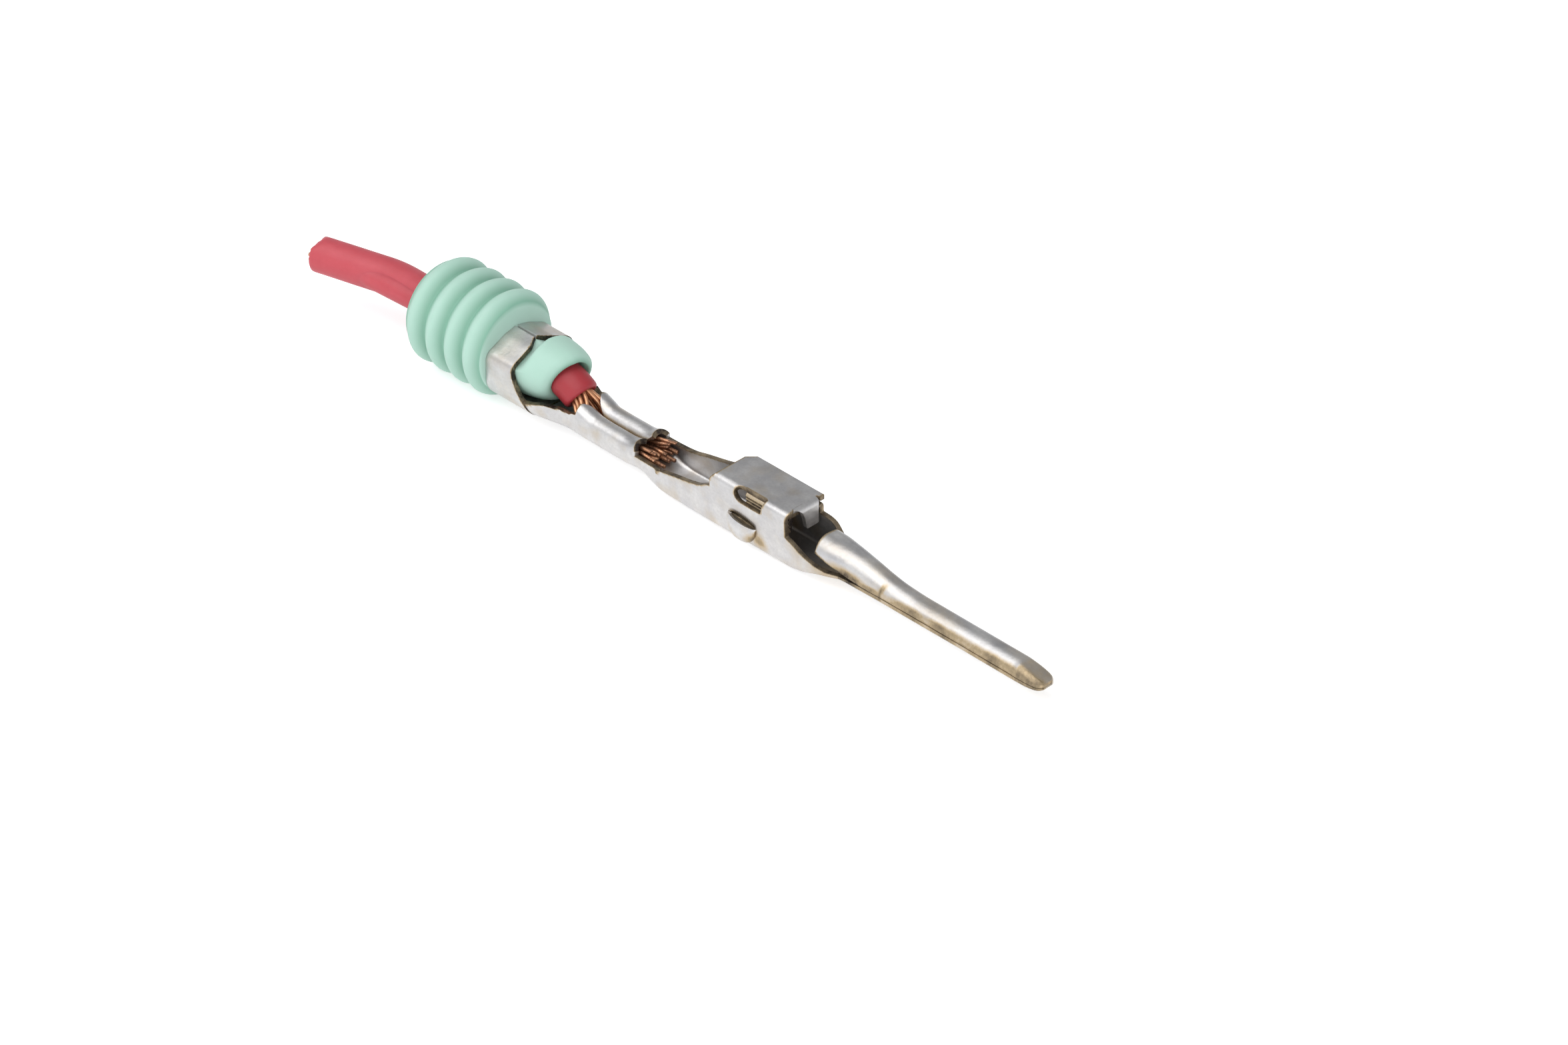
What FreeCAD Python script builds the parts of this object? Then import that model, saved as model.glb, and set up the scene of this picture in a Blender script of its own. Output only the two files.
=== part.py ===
import FreeCAD, Part
import math
import os

import Sketcher
from FreeCAD import Vector

# Sealed crimp pin contact on a short stub of stranded wire.
#
# Frame: +X runs along the contact to the tip of the pin, +Y is the side of the roof's free edge and
# +Z is up. The origin lies on the underside of the locking box, below the rear edge of its roof.
#
# The contact is one folded sheet. Its stations along X, from the tip back, are the pin, the open
# throat, the locking box, the open channel, the conductor crimp, the trough and the seal grip.

SIZES = (
    ("sheet_thickness", 0.20, "the stamped sheet"),
    ("bend_radius", 0.32, "outside of the box's bends"),
    ("fold_gap", 0.03, "between two layers of the sheet"),
    ("box_width", 2.05, "outside of the locking box"),
    ("box_height", 2.36, "outside, floor to roof"),
    ("box_length", 4.10, "rear edge of the walls to the front arch"),
    ("axis_height", 2.01, "axis of the seal and the wire above the box's underside"),
    ("wall_lead", 0.20, "walls reach this far behind the roof"),
    ("window_start", 1.10, "behind this the roof bend is whole"),
    ("window_length", 1.70, "window in the near roof bend"),
    ("window_depth", 0.75, "below the roof"),
    ("window_roof_cut", 0.14, "into the roof, from the wall's face"),
    ("flap_start", 1.40, "rear edge of the inner flap"),
    ("lip_depth", 0.75, "the inner flap's ribbed lip, below its bend"),
    ("lip_groove", 0.06, "depth of the lip's coined grooves"),
    ("lance_centre", 1.60, "middle of the pressed-out eyelids"),
    ("lance_length", 1.50, "along the box"),
    ("lance_drop", 1.30, "slit below the roof"),
    ("lance_depth", 0.38, "how far an eyelid stands out of the wall"),
    ("tab_width", 0.75, "front stop tab"),
    ("tab_drop", 0.95, "front stop tab, below the roof"),
    ("throat_length", 2.40, "open part in front of the box"),
    ("dome_overlap", 1.35, "the pin's shell reaches back over the throat"),
    ("dome_width", 1.42, "rear edge of the shell"),
    ("dome_height", 1.68, "rear edge of the shell, above the box's underside"),
    ("pin_width", 1.05, "mating part of the pin"),
    ("pin_height", 0.62, "mating part of the pin"),
    ("pin_floor", 0.39, "underside of the pin above the box's underside"),
    ("pin_length", 10.10, "throat to tip"),
    ("pin_taper", 2.60, "shell falls to the pin's height over this"),
    ("pin_tip", 2.25, "faceted tip"),
    ("seam_height", 0.25, "seam above the pin's underside"),
    ("channel_length", 4.15, "open channel behind the box"),
    ("channel_low_wall", 1.03, "lowest wall above the box's underside"),
    ("channel_high_wall", 1.76, "wall at the box"),
    ("crimp_length", 3.40, "conductor crimp"),
    ("crimp_width", 1.80, "outside"),
    ("crimp_floor", 0.21, "underside above the box's underside"),
    ("crimp_height", 1.14, "underside to the top of the lobes"),
    ("bell_rise", 0.22, "lobes of the front bellmouth above the others"),
    ("rear_bell_rise", 0.37, "lobes of the rear bellmouth above the others"),
    ("trough_length", 2.75, "crimp to seal grip"),
    ("trough_wall", 0.95, "height of its walls at the middle"),
    ("grip_length", 1.40, "seal grip along X"),
    ("grip_width", 3.30, "outside"),
    ("grip_floor", 0.34, "underside above the box's underside"),
    ("grip_corner", 1.00, "outside radius of its lower corners"),
    ("grip_shoulder", 2.40, "shoulder of the wings, above the box's underside"),
    ("grip_top", 3.16, "tips of the wings, above the box's underside"),
    ("grip_gap", 0.12, "between the tips of the wings"),
    ("rib_diameter", 4.46, "crests of the seal"),
    ("groove_diameter", 3.70, "grooves of the seal"),
    ("rib_count", 4, "ribs on the seal"),
    ("rib_pitch", 1.06, "from crest to crest"),
    ("rib_width", 0.86, "a rib at the groove's diameter"),
    ("seal_gap", 0.06, "seal's body behind the grip"),
    ("neck_diameter", 2.60, "seal's neck"),
    ("neck_length", 1.75, "neck in front of the grip"),
    ("wire_diameter", 1.50, "over the insulation"),
    ("insulation_wall", 0.255, "thickness of the insulation"),
    ("stub_length", 6.30, "insulation behind the seal"),
    ("stub_straight", 1.90, "before the stub bends"),
    ("stub_bend", 15.0, "degrees, towards the near side"),
    ("stub_bend_radius", 5.0, "centre line"),
    ("front_length", 0.45, "insulation in front of the neck"),
    ("front_droop", 0.48, "fall of the insulation's front end"),
    ("droop_length", 1.65, "over this length"),
    ("strand_diameter", 0.170, "one copper strand, over its corners"),
    ("strand_pitch", 0.20, "between neighbouring strands"),
    ("strand_descent", 1.02, "from the insulation's end to the crimp's level"),
    ("brush_length", 0.80, "strands in front of the crimp"),
    ("nick_depth", 0.30, "nick at the wire's cut end"),
)

doc = FreeCAD.newDocument("crimp_pin_contact")
sheet = doc.addObject("Spreadsheet::Sheet", "sizes")
for row, (alias, value, note) in enumerate(SIZES, start=1):
    sheet.set(f"A{row}", alias)
    sheet.set(f"B{row}", str(value))
    sheet.setAlias(f"B{row}", alias)
    sheet.set(f"C{row}", note)
doc.recompute()


def size(alias):
    """The value of one cell of the sheet."""
    return float(sheet.get(alias))


# Levels and stations that several pieces share

thick = size("sheet_thickness")
gap = size("fold_gap")
base = 0.0
roof = base + size("box_height")
half_box = size("box_width") / 2
bend = size("bend_radius")
seal_axis = base + size("axis_height")

box_rear = -size("wall_lead")
box_front = box_rear + size("box_length")
throat_front = box_front + size("throat_length")
pin_end = throat_front + size("pin_length")
crimp_front = box_rear - size("channel_length")
crimp_rear = crimp_front - size("crimp_length")
grip_front = crimp_rear - size("trough_length")
grip_rear = grip_front - size("grip_length")
neck_front = grip_front + size("neck_length")
seal_front = grip_rear - size("seal_gap")
seal_rear = seal_front - size("rib_count") * size("rib_pitch")
wire_front = neck_front + size("front_length")


class Outline:
    """A closed wire in a plane across X, drawn edge by edge."""

    def __init__(self, x, y, z):
        self.x = x
        self.start = (y, z)
        self.here = (y, z)
        self.edges = []

    def point(self, y, z):
        return Vector(self.x, y, z)

    def line(self, y, z):
        self.edges.append(Part.LineSegment(self.point(*self.here), self.point(y, z)).toShape())
        self.here = (y, z)

    def arc(self, centre, y, z):
        """An arc about centre of less than half a turn."""
        from_centre = [here + there - 2 * mid for here, there, mid in zip(self.here, (y, z), centre)]
        radius = math.dist(self.here, centre)
        reach = radius / math.hypot(*from_centre)
        middle = [mid + reach * step for mid, step in zip(centre, from_centre)]
        arc = Part.Arc(self.point(*self.here), self.point(*middle), self.point(y, z))
        self.edges.append(arc.toShape())
        self.here = (y, z)

    def closed(self):
        self.line(*self.start)
        return Part.Wire(self.edges)


def loft(outlines):
    """A solid with straight rulings through outlines of the same make."""
    return Part.makeLoft(list(outlines), True, True)


def block(x0, x1, y0, y1, z0, z1):
    return Part.makeBox(x1 - x0, y1 - y0, z1 - z0, Vector(x0, y0, z0))


def fused(solids):
    return solids[0].multiFuse(solids[1:]).removeSplitter()


# Sections of the folded sheet


def channel_outline(x, half, floor, radius, near_top, far_top):
    """U of sheet: two walls and a floor with rounded corners."""
    inner = half - thick
    knee = half - radius
    bend_z = floor + radius
    near_corner = (-knee, bend_z)
    far_corner = (knee, bend_z)
    outline = Outline(x, -half, near_top)
    outline.line(-half, bend_z)
    outline.arc(near_corner, -knee, floor)
    outline.line(knee, floor)
    outline.arc(far_corner, half, bend_z)
    outline.line(half, far_top)
    outline.line(inner, far_top)
    outline.line(inner, bend_z)
    outline.arc(far_corner, knee, floor + thick)
    outline.line(-knee, floor + thick)
    outline.arc(near_corner, -inner, bend_z)
    outline.line(-inner, near_top)
    return outline.closed()


def lobed_outline(x, half, floor, radius, lobe, lobe_z, curl, tip):
    """Crimp barrel: the walls curl inwards as two lobes, each through the angle curl."""
    inner = half - thick
    knee = half - radius
    bend_z = floor + radius

    def on_lobe(side, reach, degrees, run=0.0):
        turn = math.radians(degrees)
        y = half - lobe + reach * math.cos(turn) - run * math.sin(turn)
        return side * y, lobe_z + reach * math.sin(turn) + run * math.cos(turn)

    far_corner = (knee, bend_z)
    near_corner = (-knee, bend_z)
    far_lobe = (half - lobe, lobe_z)
    near_lobe = (lobe - half, lobe_z)
    core = lobe - thick
    outline = Outline(x, -knee, floor)
    outline.line(knee, floor)
    outline.arc(far_corner, half, bend_z)
    outline.line(half, lobe_z)
    outline.arc(far_lobe, *on_lobe(1, lobe, curl / 2))
    outline.arc(far_lobe, *on_lobe(1, lobe, curl))
    outline.line(*on_lobe(1, lobe, curl, tip))
    outline.line(*on_lobe(1, core, curl, tip))
    outline.line(*on_lobe(1, core, curl))
    outline.arc(far_lobe, *on_lobe(1, core, curl / 2))
    outline.arc(far_lobe, inner, lobe_z)
    outline.line(inner, bend_z)
    outline.arc(far_corner, knee, floor + thick)
    outline.line(-knee, floor + thick)
    outline.arc(near_corner, -inner, bend_z)
    outline.line(-inner, lobe_z)
    outline.arc(near_lobe, *on_lobe(-1, core, curl / 2))
    outline.arc(near_lobe, *on_lobe(-1, core, curl))
    outline.line(*on_lobe(-1, core, curl, tip))
    outline.line(*on_lobe(-1, lobe, curl, tip))
    outline.line(*on_lobe(-1, lobe, curl))
    outline.arc(near_lobe, *on_lobe(-1, lobe, curl / 2))
    outline.arc(near_lobe, -half, lobe_z)
    outline.line(-half, bend_z)
    outline.arc(near_corner, -knee, floor)
    return Part.Wire(outline.edges)


def rounded_outline(x, half, bottom, top, low_radius, top_radius):
    """A rectangle with rounded corners, the lower two and the upper two alike."""
    low = bottom + low_radius
    high = top - top_radius
    low_knee = half - low_radius
    top_knee = half - top_radius
    outline = Outline(x, -low_knee, bottom)
    outline.line(low_knee, bottom)
    outline.arc((low_knee, low), half, low)
    outline.line(half, high)
    outline.arc((top_knee, high), top_knee, top)
    outline.line(-top_knee, top)
    outline.arc((-top_knee, high), -half, high)
    outline.line(-half, low)
    outline.arc((-low_knee, low), -low_knee, bottom)
    return Part.Wire(outline.edges)


# The folded sheet, station by station


def seal_grip():
    """Wings that close over the seal's neck. Returns the sheet and the room inside it."""
    half = size("grip_width") / 2
    floor = base + size("grip_floor")
    radius = size("grip_corner")
    shoulder = base + size("grip_shoulder")
    top = base + size("grip_top")
    shoulder_radius = radius / 2
    slope = math.atan2(top - shoulder, half)
    setback = shoulder_radius * math.tan((math.pi / 2 - slope) / 2)
    tangent_y = half - setback * math.cos(slope)
    tangent_z = shoulder + setback * math.sin(slope)
    knee = half - radius
    corner_z = floor + radius
    arc_z = shoulder - setback
    outline = Outline(grip_rear, -knee, floor)
    outline.line(knee, floor)
    outline.arc((knee, corner_z), half, corner_z)
    outline.line(half, arc_z)
    outline.arc((half - shoulder_radius, arc_z), tangent_y, tangent_z)
    outline.line(0, top)
    outline.line(-tangent_y, tangent_z)
    outline.arc((shoulder_radius - half, arc_z), -half, arc_z)
    outline.line(-half, corner_z)
    outline.arc((-knee, corner_z), -knee, floor)
    skin = Part.Wire(outline.edges)
    along = Vector(size("grip_length"), 0, 0)
    outside = Part.Face(skin).extrude(along)
    inside = Part.Face(skin.makeOffset2D(-thick)).extrude(along)
    slot = size("grip_gap") / 2
    parting = block(grip_rear, grip_front, -slot, slot, shoulder, top)
    return outside.cut(inside).cut(parting), inside


def trough():
    """Low-walled floor that narrows from the seal grip to the crimp."""
    half_grip = size("grip_width") / 2
    half_crimp = size("crimp_width") / 2
    length = size("trough_length")
    grip_floor = base + size("grip_floor")
    crimp_floor = base + size("crimp_floor") + size("bell_rise") / 4
    wall = grip_floor + size("trough_wall")
    corner = size("grip_corner")
    crimp_corner = half_crimp / 2
    shoulder = base + size("grip_shoulder") - corner / 2
    stations = (
        (0.00, half_grip, grip_floor, corner, shoulder),
        (0.23, half_grip * 0.97, grip_floor, corner * 0.9, grip_floor + corner * 0.95),
        (0.58, (half_grip + half_crimp) / 2 - thick / 2, grip_floor, corner * 0.6, wall),
        (0.88, half_crimp * 1.06, crimp_floor, crimp_corner, wall - thick / 2),
        (1.00, half_crimp * 1.06, crimp_floor, crimp_corner, wall + thick / 2),
    )
    return loft(
        channel_outline(grip_front + share * length, half, floor, radius, top, top)
        for share, half, floor, radius, top in stations
    )


def crimp_stations():
    """Share of the length, half width, underside, lobe radius, rise, curl and tip of each station."""
    half = size("crimp_width") / 2
    low = base + size("crimp_floor")
    end_low = low + size("bell_rise") / 2
    rear_low = low + size("bell_rise") / 4
    lobe = half / 2 - gap / 4
    wide = half * 1.04
    rear_wide = half * 1.06
    return (
        (0.00, rear_wide, rear_low, rear_wide / 2, size("rear_bell_rise"), 52, 0.02),
        (0.18, half * 1.04, low + gap / 2, half / 2, size("rear_bell_rise") / 2, 135, 0.03),
        (0.26, half, low, lobe, 0.0, 179, thick / 2),
        (0.80, half, low, lobe, 0.0, 179, thick / 2),
        (0.90, half * 1.02, low + gap, half / 2, size("bell_rise") / 3, 150, 0.05),
        (1.00, wide, end_low, wide / 2, size("bell_rise"), 125, 0.02),
    )


def crimp_barrel():
    """Conductor crimp: two lobes with a groove between them and a bellmouth at each end."""
    top = base + size("crimp_floor") + size("crimp_height")
    length = size("crimp_length")
    corner = size("crimp_width") / 4
    return loft(
        lobed_outline(crimp_rear + share * length, half, low, corner, lobe, top + rise - lobe, curl, tip)
        for share, half, low, lobe, rise, curl, tip in crimp_stations()
    )


def open_channel():
    """Channel between the crimp and the box, whose walls rise to the box."""
    half_crimp = size("crimp_width") / 2 * 1.04
    crimp_floor = base + size("crimp_floor") + size("bell_rise") / 2
    low = base + size("channel_low_wall")
    high = base + size("channel_high_wall")
    length = size("channel_length")
    stations = (
        (0.00, half_crimp, crimp_floor, half_crimp / 2, low),
        (0.08, half_crimp, crimp_floor, half_crimp / 2, low),
        (0.33, half_box * 0.96, base, bend, low),
        (0.52, half_box * 0.98, base, bend, low + 0.2 * (high - low)),
        (0.83, half_box, base, bend, low + 0.6 * (high - low)),
        (1.00, half_box, base, bend, high),
    )
    return loft(
        channel_outline(crimp_front + share * length, half, floor, radius, top, top)
        for share, half, floor, radius, top in stations
    )


def tube(x0, x1, half, bottom, top):
    """A folded tube of sheet with the box's bends."""
    along = Vector(x1 - x0, 0, 0)
    outside = rounded_outline(x0, half, bottom, top, bend, bend)
    core = bend - thick
    inside = rounded_outline(x0, half - thick, bottom + thick, top - thick, core, core)
    return Part.Face(outside).extrude(along).cut(Part.Face(inside).extrude(along))


def eyelid(side):
    """Half of a domed shell, pressed out of a side wall below a slit, and the opening behind it."""
    half_length = size("lance_length") / 2
    depth = size("lance_depth")
    radius = (half_length**2 + depth**2) / (2 * depth)
    slit = roof - size("lance_drop")
    middle = Vector(size("lance_centre"), side * (half_box + depth - radius), slit - half_length / 3)
    outside = Part.makeSphere(radius, middle)
    inside = Part.makeSphere(radius - thick, middle)
    near_y, far_y = sorted((side * (half_box - thick), side * (half_box + 2 * depth)))
    below = block(middle.x - radius, middle.x + radius, near_y, far_y, base, slit)
    return outside.cut(inside).common(below), inside.common(below)


def locking_box():
    """Box with its roof folded from the near wall over the inner flap of the far wall."""
    lower_roof = roof - thick - gap
    outer = tube(box_rear, box_front, half_box, base, roof)
    outer = outer.common(block(box_rear, box_front, -half_box, 0, base, roof))
    roof_plate = block(0, box_front, 0, half_box, roof - thick, roof)
    behind_roof = block(box_rear, 0, -half_box + bend, 0, roof - thick, roof)
    window_rear = size("window_start")
    window_front = window_rear + size("window_length")
    window_low = roof - size("window_depth")
    window_in = -half_box + size("window_roof_cut")
    round_end = size("window_depth") / 2
    window = block(window_rear + round_end, window_front, -half_box - thick, window_in, window_low, roof)
    window_round = Part.makeCylinder(
        round_end,
        thick + size("window_roof_cut"),
        Vector(window_rear + round_end, -half_box - thick, window_low + round_end),
        Vector(0, 1, 0),
    )
    near = outer.cut(behind_roof).fuse(roof_plate).cut(window).cut(window_round)
    corner_cut = Part.makePolygon(
        [
            Vector(0, half_box, roof - thick),
            Vector(0, half_box - bend, roof - thick),
            Vector(bend, half_box, roof - thick),
            Vector(0, half_box, roof - thick),
        ]
    )
    near = near.cut(Part.Face(corner_cut).extrude(Vector(0, 0, thick)))

    inner = tube(box_rear, box_front, half_box, base, lower_roof)
    far = inner.common(block(box_rear, box_front, 0, half_box, base, roof))
    far = far.cut(block(box_rear, size("flap_start"), 0, half_box - thick, lower_roof - thick, roof))
    flap_length = box_front - thick - size("flap_start")
    lip_y = -half_box + thick + gap
    flap = block(size("flap_start"), box_front - thick, lip_y, 0, lower_roof - thick, lower_roof)
    lip_low = lower_roof - size("lip_depth")
    lip = block(size("flap_start"), box_front - thick, lip_y, lip_y + thick, lip_low, lower_roof)
    for share in (0.3, 0.5, 0.7):
        groove_z = lower_roof - share * size("lip_depth")
        groove_rear = Vector(size("flap_start"), lip_y, groove_z)
        lip = lip.cut(Part.makeCylinder(size("lip_groove"), flap_length, groove_rear, Vector(1, 0, 0)))

    tab_y = half_box - bend - size("tab_width")
    tab_low = roof - size("tab_drop")
    tab = block(box_front - thick, box_front, tab_y, tab_y + size("tab_width"), tab_low, roof)

    shell = fused([near, far, flap, lip, tab])
    for side in (-1, 1):
        lid, opening = eyelid(side)
        shell = shell.cut(opening).fuse(lid)
    return shell


def throat():
    """Open channel that narrows and rises from the box to the pin."""
    length = size("throat_length")
    half_pin = size("pin_width") / 2
    pin_low = base + size("pin_floor")
    seam = pin_low + size("seam_height")
    rise = roof - base
    stations = (
        (0.00, half_box, base, bend, base + rise * 0.57, base + rise * 0.68),
        (0.17, half_box, base, bend, base + rise * 0.51, base + rise * 0.66),
        (0.33, half_box * 0.96, base + thick * 0.4, bend, base + rise * 0.41, base + rise * 0.59),
        (0.54, half_box * 0.88, base + thick, bend * 0.9, base + rise * 0.31, base + rise * 0.42),
        (0.77, half_pin * 1.48, base + pin_low * 0.5, bend * 0.8, seam + gap, seam + thick),
        (1.00, half_pin * 1.18, pin_low, bend * 0.7, seam, seam),
    )
    return loft(
        channel_outline(box_front + share * length, half, floor, radius, near_top, far_top)
        for share, half, floor, radius, near_top, far_top in stations
    )


def pin():
    """Folded pin: one shell that starts as an open dome and closes over the lower strip."""
    half = size("pin_width") / 2
    low = base + size("pin_floor")
    top = low + size("pin_height")
    dome_top = base + size("dome_height")
    half_dome = size("dome_width") / 2
    dome_rear = throat_front - size("dome_overlap")
    dome_middle = throat_front - 0.35 * size("dome_overlap")
    taper = size("pin_taper")
    tip_start = pin_end - size("pin_tip")
    edge = thick / 2
    corner = bend * 0.7
    fall = dome_top - top
    stations = (
        (dome_rear, half_dome, low, dome_top, corner, half_dome * 0.9),
        (dome_middle, half_dome * 0.93, low, dome_top, corner, half_dome * 0.8),
        (throat_front, half * 1.18, low, dome_top - 0.05 * fall, corner, half * 0.9),
        (throat_front + 0.38 * taper, half * 1.03, low, top + 0.62 * fall, edge, half * 0.7),
        (throat_front + 0.7 * taper, half, low, top + 0.25 * fall, edge, half * 0.4),
        (throat_front + taper, half, low, top, edge, edge),
        (tip_start, half, low, top, edge, edge),
    )
    outside = loft(rounded_outline(*station) for station in stations)
    slim = thick - gap
    inside = loft(
        rounded_outline(x, hw - slim, z0 + slim, z1 - slim, max(r0 - slim, gap), max(r1 - slim, gap))
        for x, hw, z0, z1, r0, r1 in stations
    )
    seam = low + size("seam_height")
    shell = outside.cut(inside)
    below_dome = block(dome_rear, throat_front - thick, -half_dome, half_dome, base, seam + gap)
    shell = shell.cut(below_dome)
    shell = shell.cut(block(throat_front - thick, tip_start - thick, -half_dome, 0, seam, seam + gap))
    return shell.fuse(pin_tip(tip_start, half, (low + top) / 2, edge))


def pin_tip(start, half, middle, edge):
    """Solid tip with four facets, narrowing to a small flat end."""
    thin = size("pin_height") / 2
    stations = (
        (0.00, 1.00, 1.00, edge),
        (0.55, 0.84, 0.80, edge),
        (0.85, 0.52, 0.50, edge / 2),
        (1.00, 0.22, 0.28, edge / 4),
    )
    outlines = []
    for share, wide, high, radius in stations:
        x = start + share * size("pin_tip")
        low = middle - thin * high
        outlines.append(rounded_outline(x, half * wide, low, middle + thin * high, radius, radius))
    return loft(outlines)


grip, grip_room = seal_grip()
box = locking_box()
contact = doc.addObject("Part::Feature", "contact_sheet")
contact.Label = "contact"
contact.Shape = fused([grip, trough(), crimp_barrel(), open_channel(), box, throat(), pin()])


# The wire: a straight run through the seal, a droop to the crimp and a bent stub

half_wire = size("wire_diameter") / 2
droop_angle = 2 * math.atan2(size("front_droop"), size("droop_length"))
droop_radius = size("droop_length") / math.sin(droop_angle)
droop_start = wire_front - size("droop_length")
bend_start = seal_rear - size("stub_straight")
bend_angle = math.radians(size("stub_bend"))
bend_sweep = size("stub_bend_radius")
stub_tail = size("stub_length") - size("stub_straight") - bend_sweep * bend_angle


def stub_point(turn, across=0.0, up=0.0, run=0.0):
    """A point of the bent stub, turn radians into its bend and run beyond it."""
    radius = bend_sweep - across
    x = bend_start - radius * math.sin(turn) - run * math.cos(turn)
    y = across - radius * (1 - math.cos(turn)) - run * math.sin(turn)
    return Vector(x, y, seal_axis + up)


def droop_point(turn, across=0.0, up=0.0):
    """A point of the drooping front end, turn radians into its fall."""
    radius = droop_radius + up
    fall = droop_radius - radius * math.cos(turn)
    return Vector(droop_start + radius * math.sin(turn), across, seal_axis - fall)


def wire_path():
    """Centre line of the insulation: straight runs joined by tangent arcs."""
    cut_end = stub_point(bend_angle, run=stub_tail)
    bend_end = stub_point(bend_angle)
    edges = [
        Part.LineSegment(cut_end, bend_end),
        Part.Arc(bend_end, stub_point(bend_angle / 2), stub_point(0)),
        Part.LineSegment(stub_point(0), droop_point(0)),
        Part.Arc(droop_point(0), droop_point(droop_angle / 2), droop_point(droop_angle)),
    ]
    return Part.Wire([edge.toShape() for edge in edges])


def swept_wire(radius):
    path = wire_path()
    cut_end = stub_point(bend_angle, run=stub_tail)
    heading = stub_point(bend_angle) - cut_end
    profile = Part.Wire([Part.makeCircle(radius, cut_end, heading)])
    return path.makePipeShell([profile], True, False)


wire_solid = swept_wire(half_wire)
bore_solid = swept_wire(half_wire - size("insulation_wall"))
cut_end = stub_point(bend_angle, run=stub_tail)
nick = Part.makeBox(2 * size("nick_depth"), size("nick_depth"), size("nick_depth"))
nick.translate(Vector(-size("nick_depth"), -size("nick_depth") / 2, -size("nick_depth") / 2))
nick.rotate(Vector(0, 0, 0), Vector(1, 0, 0), 45)
nick.translate(cut_end + Vector(0, 0, half_wire))
insulation = doc.addObject("Part::Feature", "insulation_tube")
insulation.Label = "wire_insulation"
insulation.Shape = wire_solid.cut(bore_solid).cut(nick)


# The seal: a turned rubber sleeve with ribs, pressed into the grip


def origin_plane(body, role):
    return next(plane for plane in body.Origin.OriginFeatures if plane.Role == role)


def closed_sketch(body, name, corners):
    """Sketch of straight edges whose corners are bound to expressions of the sheet."""
    sketch = body.newObject("Sketcher::SketchObject", name)
    sketch.AttachmentSupport = [(origin_plane(body, "XZ_Plane"), "")]
    sketch.MapMode = "FlatFace"
    places = [Vector(x, z, 0) for x, z, _, _ in corners]
    for index, place in enumerate(places):
        sketch.addGeometry(Part.LineSegment(place, places[(index + 1) % len(places)]), False)
    for index in range(len(places)):
        sketch.addConstraint(Sketcher.Constraint("Coincident", index, 2, (index + 1) % len(places), 1))
    for index, (x, z, x_text, z_text) in enumerate(corners):
        across = sketch.addConstraint(Sketcher.Constraint("DistanceX", -1, 1, index, 1, x))
        sketch.setExpression(f"Constraints[{across}]", x_text)
        if z == 0:
            sketch.addConstraint(Sketcher.Constraint("PointOnObject", index, 1, -1))
        else:
            up = sketch.addConstraint(Sketcher.Constraint("DistanceY", -1, 1, index, 1, z))
            sketch.setExpression(f"Constraints[{up}]", z_text)
    return sketch


seal_front_text = (
    "-sizes.wall_lead - sizes.channel_length - sizes.crimp_length - sizes.trough_length"
    " - sizes.grip_length - sizes.seal_gap"
)
seal_rear_text = f"({seal_front_text}) - sizes.rib_count * sizes.rib_pitch"
neck_front_text = f"({seal_front_text}) + sizes.seal_gap + sizes.grip_length + sizes.neck_length"
half_neck = size("neck_diameter") / 2
half_groove = size("groove_diameter") / 2
half_rib = size("rib_diameter") / 2

seal_body = doc.addObject("PartDesign::Body", "seal_turning")
sleeve_sketch = closed_sketch(
    seal_body,
    "sleeve_profile",
    (
        (seal_rear, 0, seal_rear_text, ""),
        (seal_rear, half_groove, seal_rear_text, "sizes.groove_diameter / 2"),
        (seal_front, half_groove, seal_front_text, "sizes.groove_diameter / 2"),
        (seal_front, half_neck, seal_front_text, "sizes.neck_diameter / 2"),
        (neck_front, half_neck, neck_front_text, "sizes.neck_diameter / 2"),
        (neck_front, 0, neck_front_text, ""),
    ),
)
sleeve = seal_body.newObject("PartDesign::Revolution", "sleeve")
sleeve.Profile = sleeve_sketch
sleeve.ReferenceAxis = (sleeve_sketch, ["H_Axis"])
sleeve.Angle = 360

first_crest = seal_rear + size("rib_pitch") / 2
crest_text = f"({seal_rear_text}) + sizes.rib_pitch / 2"
foot = size("rib_width") / 2
root = half_groove / 2
root_text = "sizes.groove_diameter / 4"
groove_text = "sizes.groove_diameter / 2"
crest_height_text = "sizes.rib_diameter / 2"
flank_text = "sizes.rib_diameter * 0.48"
flank = half_rib * 0.96
rib_sketch = closed_sketch(
    seal_body,
    "rib_profile",
    (
        (first_crest - foot, root, f"{crest_text} - sizes.rib_width / 2", root_text),
        (first_crest - foot, half_groove, f"{crest_text} - sizes.rib_width / 2", groove_text),
        (first_crest - foot / 2, flank, f"{crest_text} - sizes.rib_width / 4", flank_text),
        (first_crest - foot / 4, half_rib, f"{crest_text} - sizes.rib_width / 8", crest_height_text),
        (first_crest + foot / 4, half_rib, f"{crest_text} + sizes.rib_width / 8", crest_height_text),
        (first_crest + foot / 2, flank, f"{crest_text} + sizes.rib_width / 4", flank_text),
        (first_crest + foot, half_groove, f"{crest_text} + sizes.rib_width / 2", groove_text),
        (first_crest + foot, root, f"{crest_text} + sizes.rib_width / 2", root_text),
    ),
)
rib = seal_body.newObject("PartDesign::Revolution", "rib")
rib.Profile = rib_sketch
rib.ReferenceAxis = (rib_sketch, ["H_Axis"])
rib.Angle = 360
ribs = seal_body.newObject("PartDesign::LinearPattern", "ribs")
ribs.Originals = [rib]
ribs.Direction = (rib_sketch, ["H_Axis"])
ribs.setExpression("Length", "(sizes.rib_count - 1) * sizes.rib_pitch")
ribs.setExpression("Occurrences", "sizes.rib_count")
seal_body.Tip = ribs
seal_body.setExpression("Placement.Base.z", "sizes.axis_height")
doc.recompute()

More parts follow.
